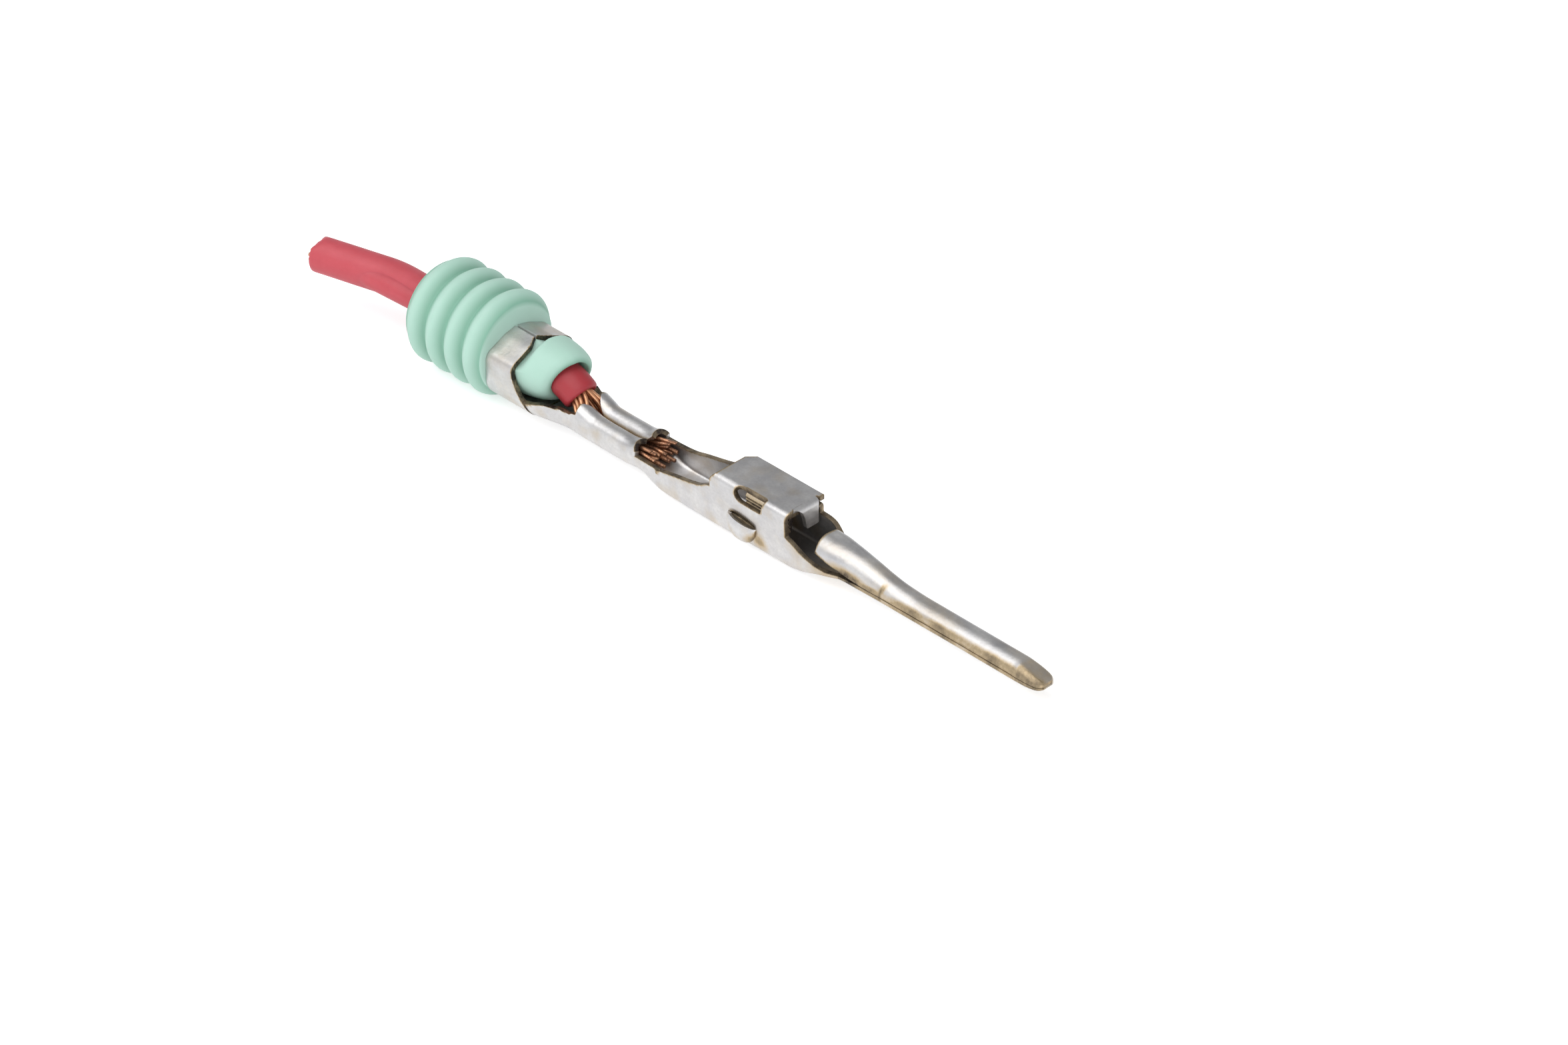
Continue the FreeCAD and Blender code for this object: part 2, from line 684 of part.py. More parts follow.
seal_room = doc.addObject("Part::Feature", "seal_in_grip")
seal_room.Shape = grip_room
wire_bore = doc.addObject("Part::Feature", "seal_bore")
wire_bore.Shape = wire_solid
seal_blank = doc.addObject("Part::MultiFuse", "seal_blank")
seal_blank.Shapes = [seal_body, seal_room]
pressed_seal = doc.addObject("Part::Cut", "pressed_seal")
pressed_seal.Base = seal_blank
pressed_seal.Tool = contact
seal = doc.addObject("Part::Cut", "seal_with_bore")
seal.Base = pressed_seal
seal.Tool = wire_bore
seal.Label = "wire_seal"


# The strands: concentric inside the insulation, in rows inside the crimp, a loose brush in front


def concentric_places():
    """One strand, six around it and twelve around those, as across and up, lowest first."""
    pitch = size("strand_pitch")
    places = [(0.0, 0.0)]
    for count, radius, turn in ((6, pitch, 30), (12, 1.95 * pitch, 15)):
        for index in range(count):
            angle = math.radians(turn + index * 360 / count)
            places.append((radius * math.cos(angle), radius * math.sin(angle)))
    return places


def row_places():
    """Rows of six, seven, four and two strands that fill the crimp's two lobes."""
    pitch = size("strand_pitch")
    layer = 0.87 * pitch
    rows = (
        (0, (-2.5, -1.5, -0.5, 0.5, 1.5, 2.5)),
        (1, (-3, -2, -1, 0, 1, 2, 3)),
        (2, (-2.75, -1.75, 1.75, 2.75)),
        (2.92, (-2.28, 2.28)),
    )
    return [(step * pitch, level * layer) for level, steps in rows for step in steps]


def paired_places():
    """Matches each place inside the insulation with one in the crimp.

    Neighbours swap partners for as long as that shortens their ways, so that no two ways cross.
    """
    inside = sorted(concentric_places(), key=lambda place: place[1])
    rows = row_places()
    middle = sum(up for _, up in rows) / len(rows)

    def way(place, row):
        return (place[0] - row[0]) ** 2 + (place[1] - row[1] + middle) ** 2

    swapped = True
    while swapped:
        swapped = False
        for one in range(len(rows)):
            for two in range(one):
                kept = way(inside[one], rows[one]) + way(inside[two], rows[two])
                if way(inside[one], rows[two]) + way(inside[two], rows[one]) < kept - 1e-9:
                    rows[one], rows[two] = rows[two], rows[one]
                    swapped = True
    return list(zip(inside, rows))


row_base = base + size("crimp_floor") + thick + size("strand_pitch") / 2
row_middle = 1.26 * 0.87 * size("strand_pitch")
crimp_level = row_base + row_middle


def approach_stations():
    """Centre line between the insulation and the crimp: x, height, slope and share of the rows.

    The height is the cubic that leaves the insulation at its own slope and ends level.
    """
    start = droop_point(droop_angle)
    run = size("strand_descent")
    mouth_level = crimp_level + size("bell_rise") / 4 + gap
    drop = start.z - mouth_level
    steep = -math.tan(droop_angle) * run
    stations = []
    for part, share in ((0.2, 0.15), (0.4, 0.4), (0.6, 0.7), (0.8, 0.93), (1.0, 1.0)):
        blend = 2 * part**3 - 3 * part**2 + 1
        height = mouth_level + drop * blend + steep * (part**3 - 2 * part**2 + part)
        rate = drop * (6 * part**2 - 6 * part) + steep * (3 * part**2 - 4 * part + 1)
        stations.append((start.x + part * run, height, math.atan2(-rate, run), share))
    return stations


def strand_stations(index, place, row):
    """Points and headings of one strand from the cut end to its chopped front end."""
    across, up = place
    stations = []

    def station(point, turn_left=0.0, turn_down=0.0):
        level = math.cos(turn_down)
        heading = Vector(math.cos(turn_left) * level, math.sin(turn_left), -math.sin(turn_down))
        stations.append((point, heading))

    station(stub_point(bend_angle, across, up, stub_tail), bend_angle)
    for share in (1.0, 0.5, 0.0):
        station(stub_point(share * bend_angle, across, up), share * bend_angle)
    for share in (0.0, 0.35, 0.7, 1.0):
        station(droop_point(share * droop_angle, across, up), 0.0, share * droop_angle)
    row_across = row[0]
    row_up = row[1] - row_middle
    for x, z, slope, share in approach_stations():
        bulge = math.sin(math.pi * share)
        side = (across + share * (row_across - across)) * (1 + 0.28 * bulge)
        lift = (up + share * (row_up - up)) * (1 + 0.17 * bulge)
        station(Vector(x + lift * math.sin(slope), side, z + lift * math.cos(slope)), 0.0, slope)
    level = crimp_level + row_up
    bell_level = level + size("bell_rise") / 2 + gap
    for share in (0.26, 0.8):
        station(Vector(crimp_rear + share * size("crimp_length"), row_across, level))
    station(Vector(crimp_front, row_across, bell_level))
    length = size("brush_length") * (1 + 0.18 * math.sin(2.4 * index))
    drift = 0.012 * math.sin(1.7 * index)
    spread = row_across * 1.08 + drift
    station(Vector(crimp_front + length, spread, bell_level + row_up * 0.5 + 0.12 * length))
    return stations


def hexagon(centre, heading):
    """Six-sided section of a strand across its heading."""
    radius = size("strand_diameter") / 2
    ahead = Vector(heading).normalize()
    side = Vector(0, 0, 1).cross(ahead).normalize()
    rise = ahead.cross(side)
    corners = []
    for step in range(6):
        angle = math.radians(60 * step + 30)
        across = side * (radius * math.cos(angle))
        corners.append(centre + across + rise * (radius * math.sin(angle)))
    return Part.makePolygon(corners + corners[:1])


strands = []
for index, (place, row) in enumerate(paired_places(), start=1):
    strand = doc.addObject("Part::Feature", f"strand_{index:02d}")
    strand.Label = f"strand_{index:02d}"
    strand.Shape = loft(hexagon(*station) for station in strand_stations(index, place, row))
    strands.append(strand)

doc.recompute()

nodes = [contact, seal, insulation] + strands
for part in doc.Objects:
    if "Invalid" in part.State or "Error" in part.State:
        raise RuntimeError(f"{part.Name} failed: {part.State}")
for node in nodes:
    if node.Shape.isNull() or not node.Shape.isValid():
        raise RuntimeError(f"{node.Label} has no valid shape")

os.makedirs("parts", exist_ok=True)
for node in nodes:
    node.Shape.exportStep(f"parts/{node.Label}.step")
    box_of = node.Shape.BoundBox
    print(
        f"{node.Label}: {len(node.Shape.Solids)} solid, {node.Shape.Volume:.3f} mm3,"
        f" x {box_of.XMin:.2f}..{box_of.XMax:.2f} y {box_of.YMin:.2f}..{box_of.YMax:.2f}"
        f" z {box_of.ZMin:.2f}..{box_of.ZMax:.2f}"
    )
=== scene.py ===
"""Looks of a sealed crimp pin contact on a short stranded wire.

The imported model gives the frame: +X runs to the tip of the pin, +Y is the side of the roof's free
edge, +Z is up, and the origin lies on the underside of the locking box. Shapes are worked out in
millimetres and written to the meshes in metres.
"""

import logging
import math
from dataclasses import dataclass, field
from enum import Enum

import bpy
import numpy as np
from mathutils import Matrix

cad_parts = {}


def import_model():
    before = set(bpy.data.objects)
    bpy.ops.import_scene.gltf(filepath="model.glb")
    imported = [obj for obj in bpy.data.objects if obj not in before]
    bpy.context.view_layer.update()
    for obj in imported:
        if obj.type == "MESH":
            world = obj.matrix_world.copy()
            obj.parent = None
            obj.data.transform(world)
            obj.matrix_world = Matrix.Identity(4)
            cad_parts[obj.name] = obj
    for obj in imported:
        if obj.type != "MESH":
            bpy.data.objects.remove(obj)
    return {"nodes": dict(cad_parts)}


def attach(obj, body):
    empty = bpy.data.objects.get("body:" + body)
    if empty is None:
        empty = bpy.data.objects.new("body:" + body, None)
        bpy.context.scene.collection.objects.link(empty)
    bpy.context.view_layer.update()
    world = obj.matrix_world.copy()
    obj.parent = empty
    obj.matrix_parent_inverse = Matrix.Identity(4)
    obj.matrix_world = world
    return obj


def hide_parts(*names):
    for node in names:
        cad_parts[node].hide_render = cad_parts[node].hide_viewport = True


LOG = logging.getLogger("crimp_pin_contact")
MM = 0.001

Socket = bpy.types.NodeSocket
Level = float | np.ndarray


class Slot(Enum):
    """Material slots of the record."""

    TIN = "tin_plate"
    RUBBER = "seal_rubber"
    INSULATION = "insulation"
    COPPER = "copper"


# Numbers and curves


def smoothstep(low: float, high: float, value: np.ndarray) -> np.ndarray:
    """Blends from 0 at low to 1 at high as 3t^2 - 2t^3.

    Args:
        low: value where the blend starts.
        high: value where it ends; less than low turns it round.
        value: any array.

    Returns:
        The blend, in the shape of value.
    """
    t = np.clip((value - low) / (high - low), 0.0, 1.0)
    return t * t * (3.0 - 2.0 * t)


def through(stations: tuple[tuple[float, ...], ...], where: np.ndarray) -> list[np.ndarray]:
    """Monotone cubic curves through a table of stations.

    Each column after the first is a function of the first. Between two stations the value is the
    cubic with the harmonic mean of the neighbouring slopes at its ends, so it never overshoots.

    Args:
        stations: rows of a place and the values there, sorted by place.
        where: places to read the curves at.

    Returns:
        One array for each column after the first.
    """
    table = np.array(stations, dtype=float)
    places = table[:, 0]
    step = np.diff(places)
    index = np.clip(np.searchsorted(places, where) - 1, 0, len(places) - 2)
    t = np.clip((where - places[index]) / step[index], 0.0, 1.0)
    curves = []
    for values in table[:, 1:].T:
        slope = np.diff(values) / step
        before, after = slope[:-1], slope[1:]
        same = before * after > 0
        mean = np.where(same, 2 * before * after / np.where(same, before + after, 1.0), 0.0)
        ends = np.concatenate(([slope[0]], mean, [slope[-1]]))
        low, high = values[index], values[index + 1]
        rise_low, rise_high = ends[index] * step[index], ends[index + 1] * step[index]
        curve = (2 * t**3 - 3 * t**2 + 1) * low + (t**3 - 2 * t**2 + t) * rise_low
        curves.append(curve + (3 * t**2 - 2 * t**3) * high + (t**3 - t**2) * rise_high)
    return curves


def waves(points: np.ndarray, seed: int, size: float) -> np.ndarray:
    """Smooth irregularity: the mean of six sine waves of seeded directions and lengths.

    Args:
        points: array whose last axis holds coordinates in millimetres.
        seed: chooses the waves.
        size: usual wave length in millimetres.

    Returns:
        Values between -1 and 1, one for each point.
    """
    generator = np.random.default_rng(seed)
    total = np.zeros(points.shape[:-1])
    for _ in range(6):
        direction = generator.normal(size=points.shape[-1])
        direction *= 2 * math.pi / (np.linalg.norm(direction) * size * generator.uniform(0.6, 1.6))
        total += np.sin(points @ direction + generator.uniform(0, 2 * math.pi))
    return total / 6


def box_distance(
    x: np.ndarray, y: np.ndarray, across: tuple[float, float], down: tuple[float, float], radius: float
) -> np.ndarray:
    """Signed distance to a rectangle with rounded corners, negative inside.

    Args:
        x: first coordinates.
        y: second coordinates.
        across: the two sides along x.
        down: the two sides along y.
        radius: of the corners.

    Returns:
        The distance at each point.
    """
    beside = np.abs(x - sum(across) / 2) - (across[1] - across[0]) / 2 + radius
    below = np.abs(y - sum(down) / 2) - (down[1] - down[0]) / 2 + radius
    outside = np.hypot(np.maximum(beside, 0), np.maximum(below, 0))
    return outside + np.minimum(np.maximum(beside, below), 0) - radius


# Meshes


def grid_faces(rows: int, columns: int, wrap: bool, offset: int = 0) -> np.ndarray:
    """Quads of a grid of points stored row by row.

    Args:
        rows: points along the first axis.
        columns: points along the second axis.
        wrap: joins the last column to the first.
        offset: number of the grid's first point.

    Returns:
        Array of four point numbers a quad.
    """
    index = np.arange(rows * columns).reshape(rows, columns) + offset
    right = np.roll(index, -1, axis=1)
    if not wrap:
        index, right = index[:, :-1], right[:, :-1]
    return np.stack([index[:-1], right[:-1], right[1:], index[1:]], axis=-1).reshape(-1, 4)


def make_piece(
    name: str,
    points: np.ndarray,
    faces: list[np.ndarray],
    values: dict[str, np.ndarray] | None = None,
) -> bpy.types.Object:
    """Makes a smooth mesh object at the origin, riding on the root body.

    Args:
        name: of the piece.
        points: array of three coordinates a point, in millimetres.
        faces: arrays of four point numbers a quad.
        values: point attributes that the materials read.

    Returns:
        The object.
    """
    mesh = bpy.data.meshes.new(name)
    mesh.from_pydata((points * MM).tolist(), [], np.concatenate(faces).tolist())
    for key, value in (values or {}).items():
        layer = mesh.attributes.new(key, "FLOAT", "POINT")
        layer.data.foreach_set("value", np.ascontiguousarray(value, dtype=np.float32).ravel())
    mesh.validate()
    mesh.polygons.foreach_set("use_smooth", np.ones(len(mesh.polygons), dtype=bool))
    mesh.update()
    piece = bpy.data.objects.new(name, mesh)
    bpy.context.scene.collection.objects.link(piece)
    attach(piece, "root")
    return piece


def soften_edges(piece: bpy.types.Object, width: float, segments: int = 2, sharp: float = 50.0) -> None:
    """Rounds the sharp edges of a piece.

    Args:
        piece: the object.
        width: of the rounding in millimetres.
        segments: faces across it.
        sharp: angle in degrees from which an edge is rounded.
    """
    bevel = piece.modifiers.new("edges", "BEVEL")
    bevel.width = width * MM
    bevel.segments = segments
    bevel.limit_method = "ANGLE"
    bevel.angle_limit = math.radians(sharp)
    bevel.use_clamp_overlap = True
    bevel.harden_normals = False
    bevel.miter_outer = "MITER_ARC"


def grid_normals(points: np.ndarray) -> np.ndarray:
    """Unit normals of a grid of points: the cross product of its two central differences."""
    along = np.gradient(points, axis=0)
    across = np.gradient(points, axis=1)
    normal = np.cross(across, along)
    length = np.linalg.norm(normal, axis=-1, keepdims=True)
    return normal / np.maximum(length, 1e-9)


@dataclass
class SheetPatch:
    """A patch of sheet metal: an outer surface on a grid, its inner surface and the rim between.

    points holds the outer surface, with normals outwards. kept says which cells of the grid are
    metal. tarnish and shadow hold a value for each grid point that goes into the mesh, shadow on
    the inner surface alone.
    """

    points: np.ndarray
    thickness: np.ndarray
    kept: np.ndarray
    tarnish_and_shade: np.ndarray
    normals: np.ndarray
    shadow: np.ndarray

    def solid(self) -> tuple[np.ndarray, np.ndarray, np.ndarray]:
        """The patch as a closed shell.

        Returns:
            Its points, its quads, and its points' tarnish and shadow in two columns.
        """
        rows, columns = self.points.shape[:2]
        count = rows * columns
        inner = self.points - self.normals * self.thickness[..., None]
        index = np.arange(count).reshape(rows, columns)
        a, b = index[:-1, :-1], index[:-1, 1:]
        c, d = index[1:, 1:], index[1:, :-1]
        kept = self.kept
        faces = [
            np.stack([a, b, c, d], axis=-1)[kept],
            np.stack([d, c, b, a], axis=-1)[kept] + count,
        ]
        padded = np.pad(kept, 1)
        for lower, first, second in (
            (padded[:-2, 1:-1], a, b),
            (padded[1:-1, 2:], b, c),
            (padded[2:, 1:-1], c, d),
            (padded[1:-1, :-2], d, a),
        ):
            rim = kept & ~lower
            faces.append(np.stack([first, first + count, second + count, second], axis=-1)[rim])
        quads = np.concatenate(faces)
        points = np.concatenate([self.points.reshape(-1, 3), inner.reshape(-1, 3)])
        outside = np.column_stack([self.tarnish_and_shade.ravel(), np.zeros(count)])
        inside = np.column_stack([self.tarnish_and_shade.ravel(), self.shadow.ravel()])
        tones = np.concatenate([outside, inside])
        used, quads = np.unique(quads, return_inverse=True)
        return points[used], quads.reshape(-1, 4), tones[used]


def joined(patches: list[SheetPatch]) -> tuple[np.ndarray, np.ndarray, np.ndarray]:
    """Puts closed shells into one mesh.

    Args:
        patches: the patches.

    Returns:
        Points, quads, and tarnish and shadow in two columns, of them all.
    """
    points, faces, tones, offset = [], [], [], 0
    for patch in patches:
        some, quads, shade = patch.solid()
        points.append(some)
        faces.append(quads + offset)
        tones.append(shade)
        offset += len(some)
    return np.concatenate(points), np.concatenate(faces), np.concatenate(tones)


# Shader node groups and finishes


class Shader:
    """A node tree with short ways to add and join nodes."""

    def __init__(self, tree: bpy.types.NodeTree) -> None:
        """Keeps the tree."""
        self.tree = tree

    def add(self, kind: str, **settings: object) -> bpy.types.Node:
        """Adds a node.

        Args:
            kind: node type without its ShaderNode prefix.
            settings: properties of the node.

        Returns:
            The node.
        """
        node = self.tree.nodes.new("ShaderNode" + kind)
        for key, value in settings.items():
            setattr(node, key, value)
        return node

    def put(self, socket: Socket, value: object) -> None:
        """Links a socket from another one, or sets it to a plain value."""
        if isinstance(value, Socket):
            self.tree.links.new(value, socket)
        else:
            socket.default_value = value

    def feed(self, node: bpy.types.Node, **inputs: object) -> bpy.types.Node:
        """Sets or links inputs by name, with underscores for spaces.

        Args:
            node: the node.
            inputs: values, or sockets to link from.

        Returns:
            The same node.
        """
        for key, value in inputs.items():
            self.put(node.inputs[key.replace("_", " ")], value)
        return node

    def math(self, operation: str, *values: object) -> Socket:
        """A Math node on values or sockets."""
        node = self.add("Math", operation=operation)
        for socket, value in zip(node.inputs, values):
            self.put(socket, value)
        return node.outputs[0]

    def blend(self, factor: object, first: object, second: object) -> Socket:
        """A colour Mix node from first to second. Its colours are sockets 6, 7 and 2."""
        node = self.add("Mix", data_type="RGBA")
        for number, value in ((0, factor), (6, first), (7, second)):
            self.put(node.inputs[number], value)
        return node.outputs[2]

    def attribute(self, name: str) -> Socket:
        """The mesh's own attribute of that name."""
        return self.add("Attribute", attribute_name=name).outputs["Fac"]

    def ramp(self, value: Socket, low: float, high: float, start: float = 0.0, end: float = 1.0) -> Socket:
        """A clamped Map Range node."""
        node = self.add("MapRange", clamp=True)
        self.feed(node, Value=value, From_Min=low, From_Max=high, To_Min=start, To_Max=end)
        return node.outputs[0]

    def noise(self, vector: Socket, scale: object, detail: float = 3.0, rough: float = 0.55) -> Socket:
        """A Noise Texture on a vector."""
        node = self.add("TexNoise")
        self.feed(node, Vector=vector, Scale=scale, Detail=detail, Roughness=rough)
        return node.outputs["Fac"]


def socket_group(
    name: str, inputs: dict[str, float], outputs: tuple[str, ...]
) -> tuple[bpy.types.NodeTree, Shader, bpy.types.Node, bpy.types.Node]:
    """Starts a shader node group with float inputs and outputs.

    Args:
        name: of the group.
        inputs: names and defaults; the name Vector makes a vector socket.
        outputs: names of the values it puts out.

    Returns:
        The tree, its builder, its input node and its output node.
    """
    tree = bpy.data.node_groups.new(name, "ShaderNodeTree")
    for key, value in inputs.items():
        kind = "NodeSocketVector" if key == "Vector" else "NodeSocketFloat"
        socket = tree.interface.new_socket(name=key, in_out="INPUT", socket_type=kind)
        if kind == "NodeSocketFloat":
            socket.default_value = value
    for key in outputs:
        tree.interface.new_socket(name=key, in_out="OUTPUT", socket_type="NodeSocketFloat")
    return tree, Shader(tree), tree.nodes.new("NodeGroupInput"), tree.nodes.new("NodeGroupOutput")


def mottle_group() -> bpy.types.NodeTree:
    """Cloudy patches: two noises, one 3.1 times as fine, stretched to a contrast."""
    inputs = {"Vector": 0, "Scale": 800, "Contrast": 1}
    tree, shader, given, result = socket_group("mottle", inputs, ("Fac",))
    vector, scale = given.outputs["Vector"], given.outputs["Scale"]
    coarse = shader.noise(vector, scale)
    fine = shader.noise(vector, shader.math("MULTIPLY", scale, 3.1))
    mixed = shader.math("ADD", shader.math("MULTIPLY", coarse, 0.65), shader.math("MULTIPLY", fine, 0.35))
    swing = shader.math("MULTIPLY", shader.math("SUBTRACT", mixed, 0.5), given.outputs["Contrast"])
    clamped = shader.ramp(shader.math("ADD", swing, 0.5), 0.0, 1.0)
    tree.links.new(clamped, result.inputs["Fac"])
    return tree


def grain_group() -> bpy.types.NodeTree:
    """Fine surface height: a dense noise, plus sparse specks where a coarser one peaks."""
    inputs = {"Vector": 0, "Scale": 6000, "Specks": 0.3}
    tree, shader, given, result = socket_group("grain", inputs, ("Height",))
    vector, scale = given.outputs["Vector"], given.outputs["Scale"]
    fine = shader.noise(vector, scale, detail=2.0)
    coarse = shader.noise(vector, shader.math("MULTIPLY", scale, 0.35), detail=1.0)
    specks = shader.ramp(coarse, 0.62, 0.75)
    height = shader.math("SUBTRACT", fine, shader.math("MULTIPLY", specks, given.outputs["Specks"]))
    tree.links.new(height, result.inputs["Height"])
    return tree


@dataclass(frozen=True)
class Groups:
    """Shader groups that several finishes share."""

    mottle: bpy.types.NodeTree
    grain: bpy.types.NodeTree


@dataclass(frozen=True)
class Finish:
    """What all finishes share: a material with a Principled shader on Object coordinates."""

    name: str
    groups: Groups

    def start(self) -> tuple[bpy.types.Material, Shader, bpy.types.Node, Socket]:
        """Makes the material.

        Returns:
            The material, its builder, its shader node and its Object coordinates.
        """
        material = bpy.data.materials.new(self.name)
        material.use_nodes = True
        shader = Shader(material.node_tree)
        surface = material.node_tree.nodes["Principled BSDF"]
        coordinates = shader.add("TexCoord").outputs["Object"]
        return material, shader, surface, coordinates

    def mottle(self, shader: Shader, vector: Socket, scale: float, contrast: float) -> Socket:
        """Places the mottle group."""
        node = shader.add("Group", node_tree=self.groups.mottle)
        shader.feed(node, Vector=vector, Scale=scale, Contrast=contrast)
        return node.outputs["Fac"]

    def bump(
        self, shader: Shader, vector: Socket, scale: float, depth: float, specks: float = 0.3
    ) -> Socket:
        """Places the grain group and turns its height, in millimetres, into a normal."""
        node = shader.add("Group", node_tree=self.groups.grain)
        shader.feed(node, Vector=vector, Scale=scale, Specks=specks)
        bump = shader.add("Bump")
        shader.feed(bump, Height=node.outputs["Height"], Distance=depth * MM, Strength=1.0)
        return bump.outputs["Normal"]


def shade(red: int, green: int, blue: int) -> tuple[float, float, float, float]:
    """A colour of a screen, 0 to 255 a channel, as linear light."""
    values = np.array([red, green, blue]) / 255
    linear = np.where(values <= 0.04045, values / 12.92, ((values + 0.055) / 1.055) ** 2.4)
    return (*linear.tolist(), 1.0)


@dataclass(frozen=True)
class TinPlate(Finish):
    """Dull tin plating: warm grey with cloudy patches, brown where tarnished and where shade is painted,
    fine grain.
    """

    def build(self) -> bpy.types.Material:
        """Builds the material. The mesh's tarnish attribute, which also holds painted shade, says where it
        is brown; depth paints shade on the inner surfaces.
        """
        material, shader, surface, place = self.start()
        cloud = self.mottle(shader, place, scale=900, contrast=2.2)
        fine = self.mottle(shader, place, scale=3600, contrast=2.4)
        dust = self.mottle(shader, place, scale=9000, contrast=3.0)
        stretched = shader.add("Mapping")
        shader.feed(stretched, Vector=place, Scale=(0.25, 1.0, 1.0))
        streak = self.mottle(shader, stretched.outputs[0], scale=2600, contrast=1.8)
        plain = shader.blend(cloud, shade(194, 193, 196), shade(232, 230, 227))
        plain = shader.blend(shader.math("MULTIPLY", streak, 0.35), plain, shade(176, 172, 168))
        plain = shader.blend(shader.math("MULTIPLY", dust, 0.22), plain, shade(150, 146, 144))
        broken = shader.ramp(fine, 0.25, 0.75, 0.78, 1.0)
        # Painted shade rides in this tarnish attribute too: around each slit, in the lip's grooves, low on
        # the pin's near wall, on its tip, and dark along the cut edges.
        edge = shader.math("MULTIPLY", shader.attribute("tarnish_and_shade"), broken)
        golden = shader.blend(shader.ramp(edge, 0.10, 0.45), plain, shade(186, 166, 134))
        brown = shader.blend(shader.ramp(edge, 0.40, 0.85), golden, shade(62, 55, 51))
        # The depth attribute is painted shade: it darkens the inner surfaces in the box and the channel to
        # dark grey.
        colour = shader.blend(shader.attribute("depth"), brown, shade(92, 86, 83))
        rough = shader.ramp(cloud, 0.0, 1.0, 0.30, 0.46)
        rough = shader.math("ADD", rough, shader.math("MULTIPLY", edge, 0.12))
        normal = self.bump(shader, place, scale=7000, depth=0.0065)
        shader.feed(surface, Base_Color=colour, Roughness=rough, Metallic=0.92, Normal=normal)
        return material


@dataclass(frozen=True)
class SealRubber(Finish):
    """Mint silicone: soft, matte, a little light below its surface."""

    def build(self) -> bpy.types.Material:
        """Builds the material. The mesh's depth attribute paints shade into the grooves."""
        material, shader, surface, place = self.start()
        cloud = self.mottle(shader, place, scale=500, contrast=1.2)
        # The depth attribute is painted shade in the grooves between the ribs and at the bore's crease.
        depth = shader.ramp(shader.attribute("depth"), 0.0, 1.0, 0.0, 0.9)
        colour = shader.blend(cloud, shade(170, 206, 190), shade(182, 215, 201))
        colour = shader.blend(depth, colour, shade(128, 176, 154))
        normal = self.bump(shader, place, scale=2500, depth=0.010, specks=0.1)
        shader.feed(surface, Base_Color=colour, Roughness=0.55, Normal=normal)
        shader.feed(surface, Subsurface_Weight=0.25, Subsurface_Scale=0.0005)
        surface.inputs["Subsurface Radius"].default_value = (0.8, 1.0, 0.9)
        surface.inputs["Specular IOR Level"].default_value = 0.35
        return material


@dataclass(frozen=True)
class Insulation(Finish):
    """Soft red insulation, with faint lengthwise drawing marks, darker towards its front end as painted
    shade.
    """

    def build(self) -> bpy.types.Material:
        """Builds the material."""
        material, shader, surface, place = self.start()
        cloud = self.mottle(shader, place, scale=700, contrast=1.5)
        stretched = shader.add("Mapping")
        shader.feed(stretched, Vector=place, Scale=(0.12, 1.0, 1.0))
        marks = self.mottle(shader, stretched.outputs[0], scale=3000, contrast=1.6)
        axes = shader.add("SeparateXYZ")
        shader.feed(axes, Vector=place)
        # Painted shade: the red darkens towards its front end, where it leaves the seal.
        front = shader.ramp(axes.outputs["X"], -12 * MM, -8.8 * MM)
        colour = shader.blend(cloud, shade(188, 66, 76), shade(208, 88, 98))
        colour = shader.blend(front, colour, shade(164, 46, 54))
        colour = shader.blend(shader.math("MULTIPLY", marks, 0.22), colour, shade(160, 44, 54))
        normal = self.bump(shader, stretched.outputs[0], scale=4000, depth=0.008, specks=0.0)
        shader.feed(surface, Base_Color=colour, Roughness=0.5, Normal=normal)
        shader.feed(surface, Subsurface_Weight=0.1, Subsurface_Scale=0.0004)
        return material


@dataclass(frozen=True)
class Copper(Finish):
    """Bare copper strands, browned towards their chopped ends."""

    def build(self) -> bpy.types.Material:
        """Builds the material."""
        material, shader, surface, place = self.start()
        cloud = self.mottle(shader, place, scale=2400, contrast=2.0)
        fine = self.mottle(shader, place, scale=12000, contrast=3.2)
        axes = shader.add("SeparateXYZ")
        shader.feed(axes, Vector=place)
        front = shader.ramp(axes.outputs["X"], -6.5 * MM, -4.8 * MM)
        bright = shader.blend(cloud, shade(236, 184, 144), shade(206, 142, 102))
        brown = shader.blend(fine, shade(206, 152, 120), shade(76, 54, 45))
        worn = shader.math("MULTIPLY", front, shader.ramp(cloud, 0.3, 0.62, 0.35, 1.0))
        colour = shader.blend(worn, bright, brown)
        normal = self.bump(shader, place, scale=9000, depth=0.004)
        rough = shader.ramp(fine, 0.0, 1.0, 0.28, 0.5)
        shader.feed(surface, Base_Color=colour, Roughness=rough, Metallic=0.9, Normal=normal)
        return material


# The folded sheet


